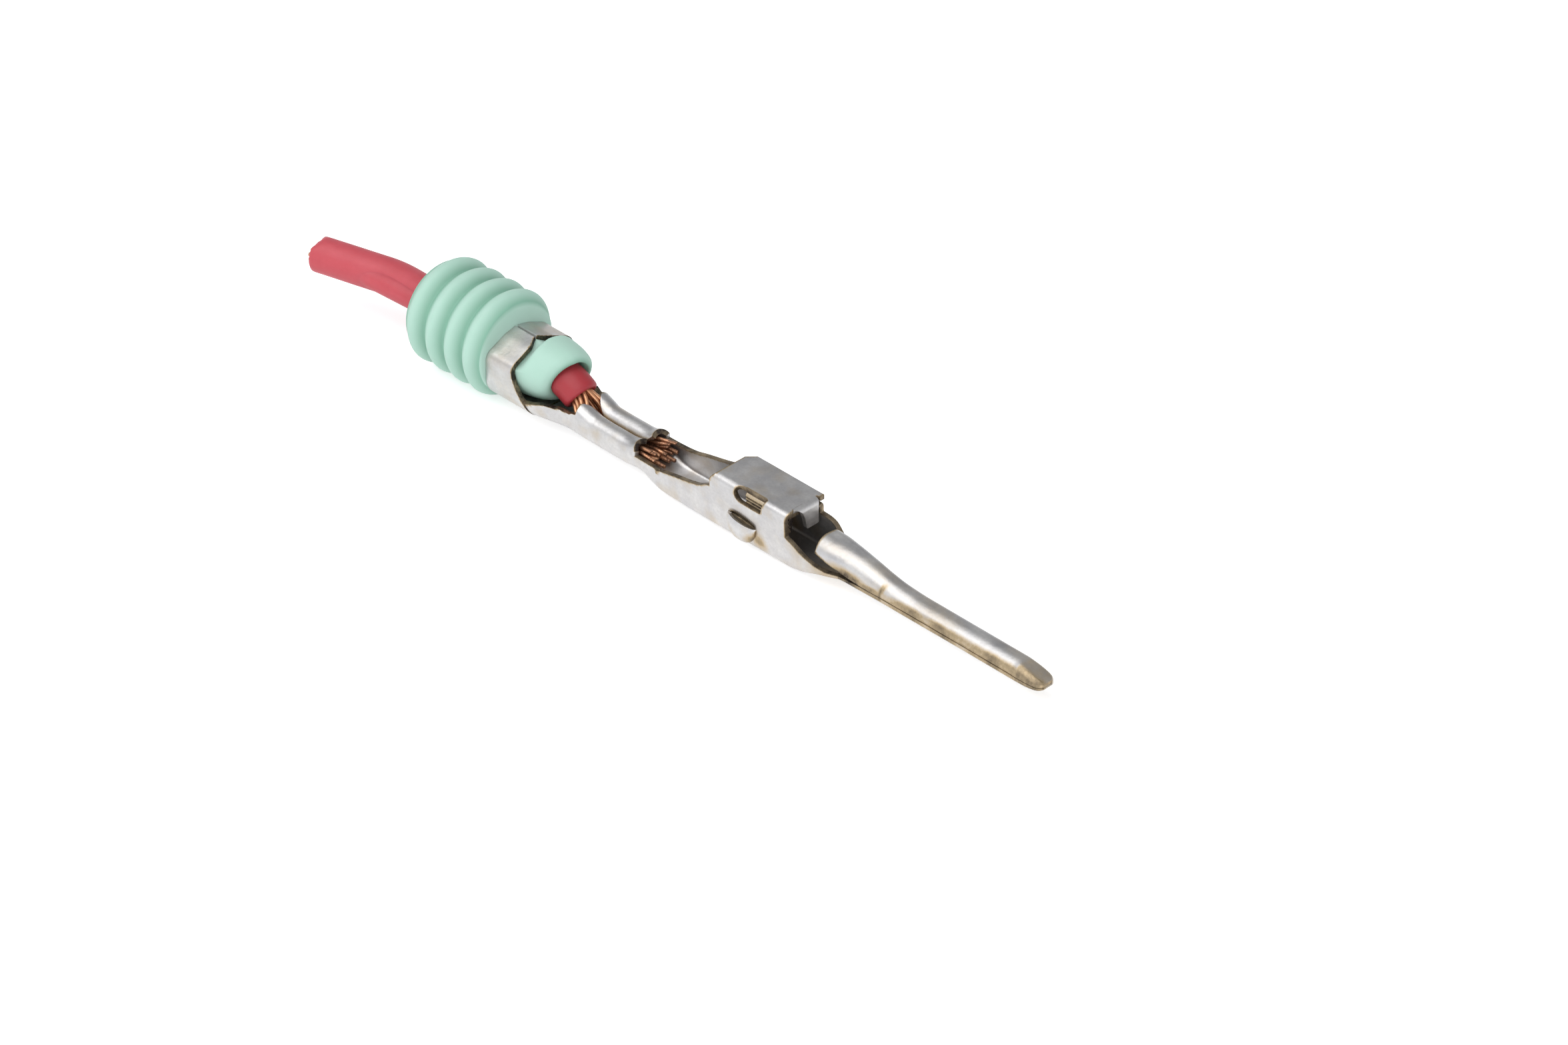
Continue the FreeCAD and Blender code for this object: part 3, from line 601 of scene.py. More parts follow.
@dataclass(frozen=True)
class BoxSteps:
    """Steps of each stretch of the box's profile, and the columns of its grid that they make.

    The profile runs from the roof's free edge over the near wall, the floor and the far wall to
    the inner flap and its lip. A column is one point of the profile at every station.
    """

    roof: int = 34
    bend: int = 12
    wall: int = 34
    corner: int = 10
    floor: int = 18
    flap: int = 26
    lip_bend: int = 8
    lip: int = 24
    foot: int = 8

    @property
    def near_wall(self) -> int:
        """Column where the near wall starts, below the roof's bend."""
        return self.roof + self.bend

    @property
    def near_foot(self) -> int:
        """Column where the near wall ends."""
        return self.near_wall + self.wall

    @property
    def far_foot(self) -> int:
        """Column where the far wall starts."""
        return self.near_foot + 2 * self.corner + self.floor

    @property
    def far_wall(self) -> int:
        """Column where the far wall ends, below the flap's bend."""
        return self.far_foot + self.wall

    @property
    def lip_start(self) -> int:
        """Column where the lip starts, below the flap's second bend."""
        return self.far_wall + self.bend + self.flap + self.lip_bend

    @property
    def columns(self) -> np.ndarray:
        """Numbers of all columns, in one row."""
        return np.arange(self.lip_start + self.lip + 1)[None, :]

    @property
    def on_roof(self) -> np.ndarray:
        """Which columns are roof."""
        return self.columns <= self.roof

    @property
    def near(self) -> np.ndarray:
        """Which columns lie on the near side of the floor's middle."""
        return self.columns <= self.near_foot + self.corner + self.floor // 2

    @property
    def on_wall(self) -> np.ndarray:
        """Which columns are side walls, a foot's length into the lower corners."""
        near = (self.columns > self.near_wall) & (self.columns < self.near_foot + self.foot)
        far = (self.columns > self.far_foot - self.foot) & (self.columns < self.far_wall)
        return near | far

    @property
    def on_flap(self) -> np.ndarray:
        """Which columns are inner flap or lip, from the middle of the flap's bend."""
        return self.columns >= self.far_wall + self.bend // 2

    @property
    def on_lip(self) -> np.ndarray:
        """Which columns are lip."""
        return self.columns > self.lip_start


@dataclass
class FoldedSheet:
    """The contact: one stamped and folded sheet, from the seal grip to the tip of the pin."""

    thickness: float = 0.20
    fold_gap: float = 0.03
    roof: float = 2.36
    half_box: float = 1.025
    bend: float = 0.32
    box_rear: float = -0.2
    box_front: float = 3.9
    throat_front: float = 6.3
    pin_end: float = 16.39
    crimp_front: float = -4.35
    crimp_rear: float = -7.75
    grip_front: float = -10.5
    grip_rear: float = -11.9
    lip_depth: float = 0.75
    lip_grooves: tuple[float, ...] = (0.28, 0.50, 0.72)
    slit_centre: float = 1.56
    spacing: float = 0.08
    # Edge tone of the grip and the crimp: a dark brown, partly painted shade along the cut edges.
    crimp_edge_colour_and_shade: float = 0.96
    edge_rounding: float = 0.028
    steps: BoxSteps = field(default_factory=BoxSteps)
    stations: int = 0
    patches: list[SheetPatch] = field(default_factory=list)

    def patch(
        self,
        points: np.ndarray,
        trim: np.ndarray,
        tarnish_and_shade: np.ndarray,
        thickness: Level = 0.20,
        rim: float = 0.80,
        inside: Level = 0.0,
    ) -> None:
        """Trims a surface and keeps it as a patch.

        Cells whose middle has a trim above zero are left out. The points on the new edge move onto
        the line where trim is zero, down its slope in the grid and by 0.75 of a cell at most.

        Args:
            points: outer surface, rows along X.
            trim: about the distance to the outline in millimetres, negative on the metal.
            tarnish_and_shade: 0 to 1 at each point.
            thickness: of the sheet there.
            rim: tone of the cut edges; high values give a dark brown that also paints the shade along
                them.
            inside: painted shade on the inner surface, how dark it is made.
        """
        kept = (trim[:-1, :-1] + trim[1:, :-1] + trim[:-1, 1:] + trim[1:, 1:]) / 4 < 0
        around = np.zeros(trim.shape, dtype=int)
        for rows in (slice(None, -1), slice(1, None)):
            for columns in (slice(None, -1), slice(1, None)):
                around[rows, columns] += kept
        full = np.full(trim.shape, 4)
        full[0, :] = full[-1, :] = 2
        full[:, 0] = full[:, -1] = 2
        full[[0, 0, -1, -1], [0, -1, 0, -1]] = 1
        on_rim = (around > 0) & (around < full)
        slope_i, slope_j = np.gradient(trim)
        steep = np.maximum(slope_i**2 + slope_j**2, 1e-8)
        furthest = 0.75
        shift_i = np.clip(-trim * slope_i / steep, -furthest, furthest) * on_rim
        shift_j = np.clip(-trim * slope_j / steep, -furthest, furthest) * on_rim
        along, across = np.gradient(points, axis=0), np.gradient(points, axis=1)
        moved = points + (along * shift_i[..., None] + across * shift_j[..., None])
        # The cut edges get their own colour, and where rim is high, a dark brown that also paints the
        # shade along them.
        edge_colour_and_shade = rim * on_rim * (0.92 + 0.2 * waves(points, 21, 0.8))
        tone = np.clip(np.maximum(tarnish_and_shade, edge_colour_and_shade), 0, 1)
        wall = np.broadcast_to(thickness, trim.shape)
        shadow = np.clip(np.broadcast_to(inside, trim.shape), 0, 1)
        self.patches.append(SheetPatch(moved, wall, kept, tone, grid_normals(points), shadow))

    def chain(self, pieces: list[np.ndarray]) -> np.ndarray:
        """Chains profile pieces, each an array of stations by points by (y, z), at their shared points."""
        return np.concatenate([pieces[0], *(piece[:, 1:] for piece in pieces[1:])], axis=1)

    def straight(self, start: tuple[Level, Level], end: tuple[Level, Level], count: int) -> np.ndarray:
        """Even points from start to end, each a pair of levels at the stations: p = a + t (b - a)."""
        t = np.linspace(0, 1, count + 1)[None, :]
        y0, z0, y1, z1 = (np.broadcast_to(value, self.stations)[:, None] for value in (*start, *end))
        return np.stack([y0 + t * (y1 - y0), z0 + t * (z1 - z0)], axis=-1)

    def turn(
        self, centre: tuple[Level, Level], radius: Level, start: Level, end: Level, count: int
    ) -> np.ndarray:
        """Even points of an arc: centre + r (cos a, sin a), a in degrees from start to end."""
        t = np.linspace(0, 1, count + 1)[None, :]
        given = (*centre, radius, start, end)
        cy, cz, r, a0, a1 = (np.broadcast_to(value, self.stations)[:, None] for value in given)
        angle = np.radians(a0 + t * (a1 - a0))
        return np.stack([cy + r * np.cos(angle), cz + r * np.sin(angle)], axis=-1)

    def surface(self, x: np.ndarray, profile: np.ndarray) -> np.ndarray:
        """Puts profiles at their stations, as points (x, y, z)."""
        along = np.broadcast_to(x[:, None], profile.shape[:2])
        return np.concatenate([along[..., None], profile], axis=-1)

    def dents(self, points: np.ndarray, depth: float = 0.012) -> np.ndarray:
        """Moves a surface by a slow, shallow unevenness along its normals."""
        return points + grid_normals(points) * (depth * waves(points, 3, 2.4))[..., None]

    def seal_grip(self) -> None:
        """Wings around the seal's neck: a rounded U whose wings lean in to two tips that nearly meet.

        The profile runs from the near tip down, under the floor and up to the far tip. The front
        edge of a wing slants from its tip back down to the trough's wall.
        """
        reach, spacing = 1.0, 0.07
        x = np.arange(self.grip_rear, self.grip_front + reach, spacing)
        self.stations = len(x)
        half, floor, corner, high, top, tip_y = 1.65, 0.34, 1.0, 2.40, 3.16, 0.07
        knee = half - corner
        rise = (top - high) / half
        shoulder = corner * 0.5
        shoulder_y, shoulder_z = half - shoulder, high - shoulder * 0.55
        arc = 90 - math.degrees(math.atan(rise))
        arc_y = shoulder_y + shoulder * math.cos(math.radians(arc))
        arc_z = shoulder_z + shoulder * math.sin(math.radians(arc))
        tip_z = arc_z + (arc_y - tip_y) * rise
        pieces = [
            self.straight((-tip_y, tip_z), (-arc_y, arc_z), 26),
            self.turn((-shoulder_y, shoulder_z), shoulder, 180 - arc, 180, 9),
            self.straight((-half, shoulder_z), (-half, floor + corner), 14),
            self.turn((-knee, floor + corner), corner, 180, 270, 18),
            self.straight((-knee, floor), (knee, floor), 18),
            self.turn((knee, floor + corner), corner, 270, 360, 18),
            self.straight((half, floor + corner), (half, shoulder_z), 14),
            self.turn((shoulder_y, shoulder_z), shoulder, 0, arc, 9),
            self.straight((arc_y, arc_z), (tip_y, tip_z), 26),
        ]
        points = self.surface(x, self.chain(pieces))
        above = points[..., 2]
        outward = np.abs(points[..., 1])
        tip_press = 0.12
        points[..., 2] -= tip_press * smoothstep(0.75, 0.0, outward) * smoothstep(2.6, 3.0, above)
        edge_by_height = ((0.0, 0.95), (1.0, 0.70), (1.6, 0.30), (2.0, 0.10), (2.5, 0.0), (3.3, -0.06))
        slant = through(edge_by_height, above)[0]
        tip_rounding = 0.25 * smoothstep(0.6, 0.0, outward) * (above > 2.3)
        front = points[..., 0] - (self.grip_front + slant) + tip_rounding
        tarnish_and_shade = 0.15 + 0.15 * waves(points, 8, 1.2)
        self.patch(self.dents(points), front, tarnish_and_shade, rim=self.crimp_edge_colour_and_shade)

    def trough_and_crimp(self) -> None:
        """Trough and crimp barrel: a U whose walls curl in through a growing angle.

        The lobes reach a little further back near the middle, and their front mouth is arched.
        """
        overlap = 0.3
        x = np.linspace(self.grip_front - overlap, self.crimp_front, 95)
        self.stations = len(x)
        half, floor, corner, lobe, lobe_top, curl = through(
            (
                (-10.9, 1.62, 0.34, 1.00, 0.80, 2.40, 8),
                (-10.4, 1.62, 0.34, 0.98, 0.80, 2.30, 8),
                (-9.87, 1.58, 0.34, 0.90, 0.75, 2.10, 8),
                (-9.0, 1.30, 0.34, 0.70, 0.62, 1.95, 10),
                (-8.4, 1.06, 0.31, 0.56, 0.54, 1.82, 16),
                (-8.0, 0.96, 0.29, 0.48, 0.50, 1.70, 30),
                (-7.75, 0.95, 0.28, 0.45, 0.48, 1.66, 76),
                (-7.3, 0.93, 0.24, 0.45, 0.46, 1.50, 140),
                (-6.9, 0.90, 0.215, 0.45, 0.45, 1.37, 172),
                (-6.2, 0.90, 0.21, 0.45, 0.44, 1.35, 182),
                (-5.2, 0.90, 0.21, 0.45, 0.44, 1.35, 182),
                (-4.9, 0.91, 0.23, 0.45, 0.45, 1.37, 172),
                (-4.55, 0.93, 0.29, 0.46, 0.47, 1.48, 140),
                (-4.35, 0.94, 0.32, 0.47, 0.48, 1.57, 118),
            ),
            x,
        )
        knee = half - corner
        lobe_y, lobe_z = half - lobe, lobe_top - lobe
        wall = np.maximum(lobe_z, floor + corner + 0.02)
        pieces = [
            self.turn((-lobe_y, wall), lobe, 180 - curl, 180, 26),
            self.straight((-half, wall), (-half, floor + corner), 8),
            self.turn((-knee, floor + corner), corner, 180, 270, 12),
            self.straight((-knee, floor), (knee, floor), 14),
            self.turn((knee, floor + corner), corner, 270, 360, 12),
            self.straight((half, floor + corner), (half, wall), 8),
            self.turn((lobe_y, wall), lobe, 0, curl, 26),
        ]
        points = self.surface(x, self.chain(pieces))
        along, outward, z = points[..., 0], np.abs(points[..., 1]), points[..., 2]
        near_top, far_top = through(
            (
                (-10.9, 1.62, 1.62),
                (-10.2, 1.38, 1.45),
                (-9.87, 1.14, 1.26),
                (-9.4, 1.22, 1.26),
                (-8.96, 1.31, 1.29),
                (-8.5, 1.31, 1.29),
                (-8.2, 1.24, 1.24),
                (-8.0, 1.22, 1.24),
                (-7.85, 1.45, 1.50),
                (-7.75, 3.0, 3.0),
                (-4.35, 3.0, 3.0),
            ),
            along,
        )
        metal = -1.0
        trim = z - np.where(points[..., 1] < 0, near_top, far_top)
        rear_mouth = self.crimp_rear - 0.03 + 0.10 * smoothstep(0.3, 0.9, outward)
        on_rear_lobes = (z > 1.30) & (along < -7.0)
        trim = np.maximum(trim, np.where(on_rear_lobes, rear_mouth - along, metal))
        front_mouth = self.crimp_front - 0.20 * smoothstep(1.15, 1.5, z)
        trim = np.maximum(trim, np.where(z > 1.0, along - front_mouth, metal))
        seam = smoothstep(0.16, 0.02, outward) * (z > 1.0)
        tarnish_and_shade = np.maximum(0.1 + 0.2 * waves(points, 5, 0.9), 0.5 * seam)
        self.patch(self.dents(points), trim, tarnish_and_shade, rim=self.crimp_edge_colour_and_shade)

    @property
    def bend_length(self) -> float:
        """Way along the sheet around one of the box's bends."""
        return math.pi / 2 * self.bend

    def channel_and_box(self) -> None:
        """Open channel, locking box and throat on one grid, trimmed to the flat pattern's outline.

        A small burr stands out of the near wall in the channel.
        """
        x = np.arange(self.crimp_front - 0.05, self.throat_front + 0.02, self.spacing)
        self.stations = len(x)
        half, floor, corner, roof, roof_bend = through(
            (
                (-4.4, 0.94, 0.32, 0.47, 2.36, 0.47),
                (-4.0, 0.94, 0.28, 0.45, 2.36, 0.46),
                (-3.5, 0.955, 0.12, 0.40, 2.36, 0.42),
                (-2.9, 0.985, 0.01, 0.34, 2.36, 0.36),
                (-2.2, 1.0, 0.0, 0.32, 2.36, 0.32),
                (-0.9, 1.025, 0.0, 0.32, 2.36, 0.32),
                (3.9, 1.025, 0.0, 0.32, 2.36, 0.32),
                (4.5, 1.01, 0.05, 0.34, 2.30, 0.32),
                (5.2, 0.90, 0.20, 0.34, 2.10, 0.30),
                (5.76, 0.78, 0.30, 0.30, 1.95, 0.28),
                (6.32, 0.62, 0.39, 0.24, 1.80, 0.26),
            ),
            x,
        )
        steps = self.steps
        points = self.surface(x, self.box_profile(half, floor, corner, roof, roof_bend))
        along, z = points[..., 0], points[..., 2]
        on_roof = -(points[..., 1] + (half - roof_bend)[:, None])
        in_bend = (steps.columns - steps.roof) * self.bend_length / steps.bend
        below = self.bend_length + (roof - roof_bend)[:, None] - z
        down = np.where(steps.on_roof, on_roof, np.where(steps.columns <= steps.near_wall, in_bend, below))
        trim = self.box_outline(points, down)
        dip, lid = self.lance(along, z)
        trim = np.where(steps.on_wall, np.maximum(trim, -lid), trim)
        points[..., 1] -= np.where(steps.on_wall, 0.13 * dip * np.sign(points[..., 1]), 0.0)
        points[..., 1] += np.where(steps.on_lip, 0.12 * self.grooves(z, 0.05), 0.0)
        burr = np.exp(-(((along + 3.05) / 0.10) ** 2) - (((z - 0.97) / 0.10) ** 2)) * steps.near
        points[..., 1] -= 0.12 * burr
        tarnish_and_shade = np.maximum(self.box_tarnish_and_shade(points, dip), 0.8 * burr)
        # Painted shade on the inner surface: inside the box and in the channel towards the crimp.
        in_box = smoothstep(-2.2, -0.4, along) * smoothstep(5.8, 4.8, along) * ~steps.on_flap
        inside = np.maximum(0.40 * in_box, 0.45 * smoothstep(-3.1, -4.2, along))
        self.patch(self.dents(points, 0.010), trim, tarnish_and_shade, inside=inside)

    def box_profile(
        self,
        half: np.ndarray,
        floor: np.ndarray,
        corner: np.ndarray,
        roof: np.ndarray,
        roof_bend: np.ndarray,
    ) -> np.ndarray:
        """Profiles of the box, from the roof's free edge round to the lip of the inner flap.

        Args:
            half: half width at each station.
            floor: level of the underside.
            corner: outside radius of the lower corners.
            roof: level of the roof's outside.
            roof_bend: outside radius of the upper bends.

        Returns:
            Pairs (y, z) by station and column.
        """
        steps = self.steps
        knee, high, shoulder = half - corner, roof - roof_bend, half - roof_bend
        gap = self.thickness + self.fold_gap
        under = roof - gap
        lip_y = -half + gap + 0.03
        lip_bend, lip_reach = 0.16, 0.80
        lip_centre = (lip_y + lip_bend, under - lip_bend)
        return self.chain(
            [
                self.straight((half, roof), (-shoulder, roof), steps.roof),
                self.turn((-shoulder, high), roof_bend, 90, 180, steps.bend),
                self.straight((-half, high), (-half, floor + corner), steps.wall),
                self.turn((-knee, floor + corner), corner, 180, 270, steps.corner),
                self.straight((-knee, floor), (knee, floor), steps.floor),
                self.turn((knee, floor + corner), corner, 270, 360, steps.corner),
                self.straight((half, floor + corner), (half, high - gap), steps.wall),
                self.turn((shoulder, high - gap), roof_bend, 0, 90, steps.bend),
                self.straight((shoulder, under), (lip_centre[0], under), steps.flap),
                self.turn(lip_centre, lip_bend, 90, 180, steps.lip_bend),
                self.straight((lip_y, lip_centre[1]), (lip_y, under - lip_reach), steps.lip),
            ]
        )

    def box_outline(self, points: np.ndarray, down: np.ndarray) -> np.ndarray:
        """Outline of the channel, the box and the throat, with the window in the near roof bend.

        Args:
            points: the grid.
            down: way along the sheet from the roof's near edge, down the near wall.

        Returns:
            About the distance to the outline, negative on the metal.
        """
        steps = self.steps
        along, y, z = points[..., 0], points[..., 1], points[..., 2]
        near_top, far_top = through(
            (
                (-4.4, 1.02, 1.02),
                (-3.4, 1.03, 1.03),
                (-3.0, 1.05, 1.05),
                (-2.3, 1.18, 1.2),
                (-0.9, 1.46, 1.5),
                (-0.2, 1.76, 1.8),
                (0.5, 1.80, 1.8),
                (3.4, 1.50, 1.62),
                (3.91, 1.35, 1.60),
                (4.26, 1.20, 1.585),
                (4.6, 1.02, 1.50),
                (5.0, 0.80, 1.22),
                (5.37, 0.67, 0.95),
                (5.73, 0.60, 0.72),
                (6.32, 0.62, 0.64),
            ),
            along,
        )
        low = z - np.where(steps.near, near_top, far_top)
        rear = self.box_rear * np.where(steps.near, smoothstep(0.0, self.bend_length, down), 1.0)
        near_front = through(
            (
                (-3.0, 3.88),
                (-1.54, 3.88),
                (-1.44, 3.74),
                (-0.22, 3.74),
                (-0.10, 3.87),
                (0.0, 3.87),
                (0.25, 3.84),
                (0.5, 3.83),
                (0.9, 3.85),
                (3.0, 3.87),
            ),
            down,
        )[0]
        front = np.where(steps.near, near_front, 3.86)
        trim = np.minimum(np.maximum(rear - along, along - front), low)
        chamfer = (y - self.half_box - along + 0.34) * 0.707
        trim = np.where(steps.on_roof, np.maximum(trim, chamfer), trim)
        window = box_distance(along + 0.2 * (down - 0.1), down, (1.14, 2.66), (0.02, 0.76), 0.08)
        round_x, round_down, round_radius = 1.49, 0.39, 0.37
        round_end = np.hypot(along - round_x, down - round_down) - round_radius
        window = np.where(along < round_x, np.maximum(round_end, window), window)
        trim = np.where(steps.columns <= steps.near_foot, np.maximum(trim, -window), trim)
        flap_rear = 1.48
        flap = np.maximum(flap_rear - along, along - (self.box_front - self.thickness))
        return np.where(steps.on_flap, flap, trim)

    def slit(self, x: np.ndarray) -> np.ndarray:
        """Level of the slit above an eyelid, which falls by 0.11 mm a millimetre to the front."""
        return self.roof - 1.24 - 0.11 * (x - 0.83)

    def lance(self, along: np.ndarray, z: np.ndarray) -> tuple[np.ndarray, np.ndarray]:
        """The slit above an eyelid, and the wall pressed in around it.

        With lens = sqrt(1 - ((x - centre) / 0.74)^2) and h the height above the slit, the dip is
        lens exp(-(h / w)^2), w = 0.17 above the slit and 0.30 below, and the slit's outline is
        |h + 0.02| - 0.05 lens.

        Args:
            along: places along X.
            z: levels.

        Returns:
            The dip from 0 to 1, and the outline, negative in the slit.
        """
        height = z - self.slit(along)
        lens = np.sqrt(np.clip(1 - ((along - self.slit_centre) / 0.74) ** 2, 0, 1))
        dip = lens * np.exp(-((height / np.where(height > 0, 0.17, 0.30)) ** 2))
        lid = np.abs(height + 0.02) - 0.05 * lens + 0.02 * (lens < 0.2)
        return dip, lid

    def grooves(self, z: np.ndarray, width: float) -> np.ndarray:
        """Level grooves in the lip: the sum of exp(-((z - groove) / width)^2)."""
        top = self.roof - self.thickness - self.fold_gap
        levels = [top - self.lip_depth * share for share in self.lip_grooves]
        return sum(np.exp(-(((z - level) / width) ** 2)) for level in levels)

    def box_tarnish_and_shade(self, points: np.ndarray, dip: np.ndarray) -> np.ndarray:
        """Tarnish and painted shade of the box's grid: clouds, shade around each slit, a stain low on the
        walls, the throat, the lip and shade in its grooves.

        Args:
            points: the grid.
            dip: how deep the walls are pressed in around the slits.

        Returns:
            Tarnish and painted shade, at each point.
        """
        steps = self.steps
        along, z = points[..., 0], points[..., 2]
        clouds = 0.12 + 0.2 * waves(points, 11, 1.0)
        # Painted shade in the wall's dip around each slit.
        painted_slit_shade = np.where(steps.on_wall, 0.62 * dip, 0.0)
        below = z - 0.55 + 0.3 * (along - 2.4)
        stain = 0.58 * np.exp(-(((along - 2.45) / 0.5) ** 2) - ((below / 0.4) ** 2)) * steps.on_wall
        throat = 0.4 * smoothstep(4.2, 5.6, along)
        near_lip = steps.columns > steps.lip_start - 6
        # The lip's own tone, with painted shade in its grooves.
        flap = np.where(near_lip, 0.42 + 0.6 * self.grooves(z, 0.06), 0.35) * steps.on_flap
        return np.maximum.reduce([clouds, painted_slit_shade, stain, throat, flap])

    def eyelids(self) -> None:
        """Eyelids pressed out of both walls below a slit.

        Over the half ellipse, w = 0 at the slit and 1 at the rim, the wall stands out by
        0.39 (1 - u^2)^0.55 (0.58 + 0.46 sin(pi w)) (1 - w^4)^0.6, with u from -1 to 1 along the slit.
        """
        half_length, drop, depth, sunk = 0.75, 0.92, 0.39, 0.012
        u, w = np.meshgrid(np.linspace(-1, 1, 45), np.linspace(0, 1, 24), indexing="ij")
        ellipse = np.clip(1 - u**2, 0, 1)
        x = self.slit_centre + half_length * u
        z = self.slit(x) - drop * np.sqrt(ellipse) * w
        swell = (0.58 + 0.46 * np.sin(math.pi * w)) * np.clip(1 - w**4, 0, 1) ** 0.6
        out = depth * ellipse**0.55 * swell
        metal = np.full(x.shape, -1.0)
        for side in (-1, 1):
            points = np.stack([x, side * (self.half_box + out - sunk), z], axis=-1)
            stain = 0.8 * np.exp(-(((x - 2.2) / 0.35) ** 2)) * w
            tarnish_and_shade = np.maximum(0.15 + 0.2 * waves(points, 12, 0.8), stain)
            if side > 0:
                points, tarnish_and_shade = points[::-1], tarnish_and_shade[::-1]
            self.patch(points, metal, tarnish_and_shade, thickness=0.16, rim=0.2)

    def stop_tab(self) -> None:
        """Tab bent down from the front edge of the roof: a quarter bend and a short straight drop."""
        y = np.linspace(-0.60, 0.70, 36)
        self.stations = len(y)
        front, radius, lead, drop_end, lift = self.box_front + 0.06, 0.24, 0.16, 1.05, 0.004
        bend_x, bend_z = front - radius, self.roof - radius
        pieces = [
            self.straight((bend_x - lead, self.roof), (bend_x, self.roof), 5),
            self.turn((bend_x, bend_z), radius, 90, 0, 10),
            self.straight((front, bend_z), (front, self.roof - drop_end), 22),
        ]
        profile = self.chain(pieces)
        across = np.broadcast_to(y[:, None], profile.shape[:2])
        points = np.stack([profile[..., 0], across, profile[..., 1] + lift], axis=-1)
        drop = self.roof - points[..., 2]
        left, right = through(
            (
                (0.0, -0.56, 0.78),
                (0.06, -0.40, 0.72),
                (0.15, -0.28, 0.67),
                (0.3, -0.17, 0.65),
                (0.5, -0.08, 0.65),
                (1.0, 0.04, 0.66),
            ),
            drop,
        )
        sides = np.maximum(left - points[..., 1], points[..., 1] - right)
        trim = np.maximum(sides, drop - 1.03)
        self.patch(points, trim, 0.06 + 0.1 * waves(points, 4, 0.5), rim=0.15)

    def pin(self) -> None:
        """Pin: a tube of sheet that starts as an open dome, with a seam low on the near side.

        The tube narrows to its tip from 15.0 mm on, and its underside falls by 0.05 mm towards it.
        """
        shank = np.arange(4.90, 15.2, 0.10)
        tip = np.arange(15.2, self.pin_end - 0.02, 0.05)
        x = np.concatenate([shank, tip, [self.pin_end]])
        self.stations = len(x)
        half, low, top, low_round, near_round, far_round = through(
            (
                (4.90, 0.72, 0.40, 1.60, 0.22, 0.78, 0.32),
                (5.5, 0.71, 0.40, 1.59, 0.22, 0.78, 0.32),
                (6.3, 0.63, 0.39, 1.55, 0.22, 0.74, 0.31),
                (7.3, 0.56, 0.39, 1.42, 0.14, 0.68, 0.31),
                (8.2, 0.53, 0.39, 1.24, 0.12, 0.62, 0.30),
                (8.95, 0.525, 0.39, 1.12, 0.12, 0.60, 0.29),
                (10.0, 0.525, 0.39, 1.05, 0.12, 0.60, 0.28),
                (15.0, 0.525, 0.39, 1.04, 0.12, 0.60, 0.28),
                (15.12, 0.525, 0.39, 1.02, 0.12, 0.50, 0.26),
                (15.6, 0.515, 0.39, 0.94, 0.12, 0.38, 0.22),
                (16.0, 0.48, 0.41, 0.87, 0.12, 0.30, 0.19),
                (16.25, 0.41, 0.44, 0.82, 0.12, 0.24, 0.16),
                (16.4, 0.28, 0.51, 0.74, 0.08, 0.14, 0.10),
            ),
            x,
        )
        near_knee, far_knee, low_knee = top - near_round, top - far_round, low + low_round
        seam = through(
            (
                (4.9, 1.10),
                (5.3, 1.04),
                (5.8, 0.92),
                (6.3, 0.82),
                (7.0, 0.70),
                (7.6, 0.64),
                (15.6, 0.62),
                (16.4, 0.61),
            ),
            x,
        )[0]
        seam = np.maximum(seam, low_knee + 0.03)
        strip = np.minimum(seam - 0.025, 0.62)
        wall_steps, corner_steps, floor_steps, strip_steps = 12, 8, 12, 4
        pieces = [
            self.near_side(half, seam, near_knee, near_round),
            self.straight((-half + near_round, top), (half - far_round, top), 10),
            self.turn((half - far_round, far_knee), far_round, 90, 0, 14),
            self.straight((half, far_knee), (half, low_knee), wall_steps),
            self.turn((half - low_round, low_knee), low_round, 0, -90, corner_steps),
            self.straight((half - low_round, low), (-half + low_round, low), floor_steps),
            self.turn((-half + low_round, low_knee), low_round, 270, 180, corner_steps),
            self.straight((-half, low_knee), (-half, strip), strip_steps),
        ]
        points = self.surface(x, self.chain(pieces))[:, ::-1]
        points[..., 2] -= 0.05 * smoothstep(7.0, 20.0, points[..., 0])
        along, y = points[..., 0], points[..., 1]
        lower_steps = strip_steps + 2 * corner_steps + floor_steps + wall_steps // 2
        lower_half = np.arange(points.shape[1])[None, :] < lower_steps
        dome_edge = 4.97 + 0.10 * (y / 0.72) ** 2
        shell_start = 6.18
        trim = np.where(lower_half, shell_start, dome_edge) - along
        wall = np.minimum(0.17, 0.45 * np.minimum(half, (top - low) / 2))[:, None]
        tarnish_and_shade = self.pin_tarnish_and_shade(points, seam[:, None])
        self.patch(self.dents(points, 0.006), trim, tarnish_and_shade, thickness=wall)

    def pin_tarnish_and_shade(self, points: np.ndarray, seam: np.ndarray) -> np.ndarray:
        """Tarnish and painted shade of the pin: shade low on its near wall, its seam, a stain at the root,
        a crease, shade on the tip.

        Args:
            points: the grid.
            seam: level of the seam at each station.

        Returns:
            Tarnish and painted shade, at each point.
        """
        along, y, z = points[..., 0], points[..., 1], points[..., 2]
        near = smoothstep(0.0, -0.45, y)
        on_near_side = y < -0.2
        clouds = 0.12 + 0.22 * waves(points, 6, 1.3)
        # Painted shade: a tan band low on the near wall, below the highlight.
        wall = smoothstep(0.98, 0.78, z) * on_near_side * smoothstep(4.9, 6.0, along)
        wall = wall * (0.56 + 0.24 * waves(points, 15, 1.1))
        line = np.exp(-(((z - seam) / 0.06) ** 2)) * on_near_side
        line = line * (0.62 + 0.3 * smoothstep(10.0, 6.0, along))
        root = np.exp(-(((along - 6.7) / 0.95) ** 2)) * smoothstep(1.25, 0.85, z - 0.1 * (6.5 - along))
        crease = np.exp(-(((along - 8.5 - 0.4 * y) / 0.13) ** 2)) * (z > 0.5)
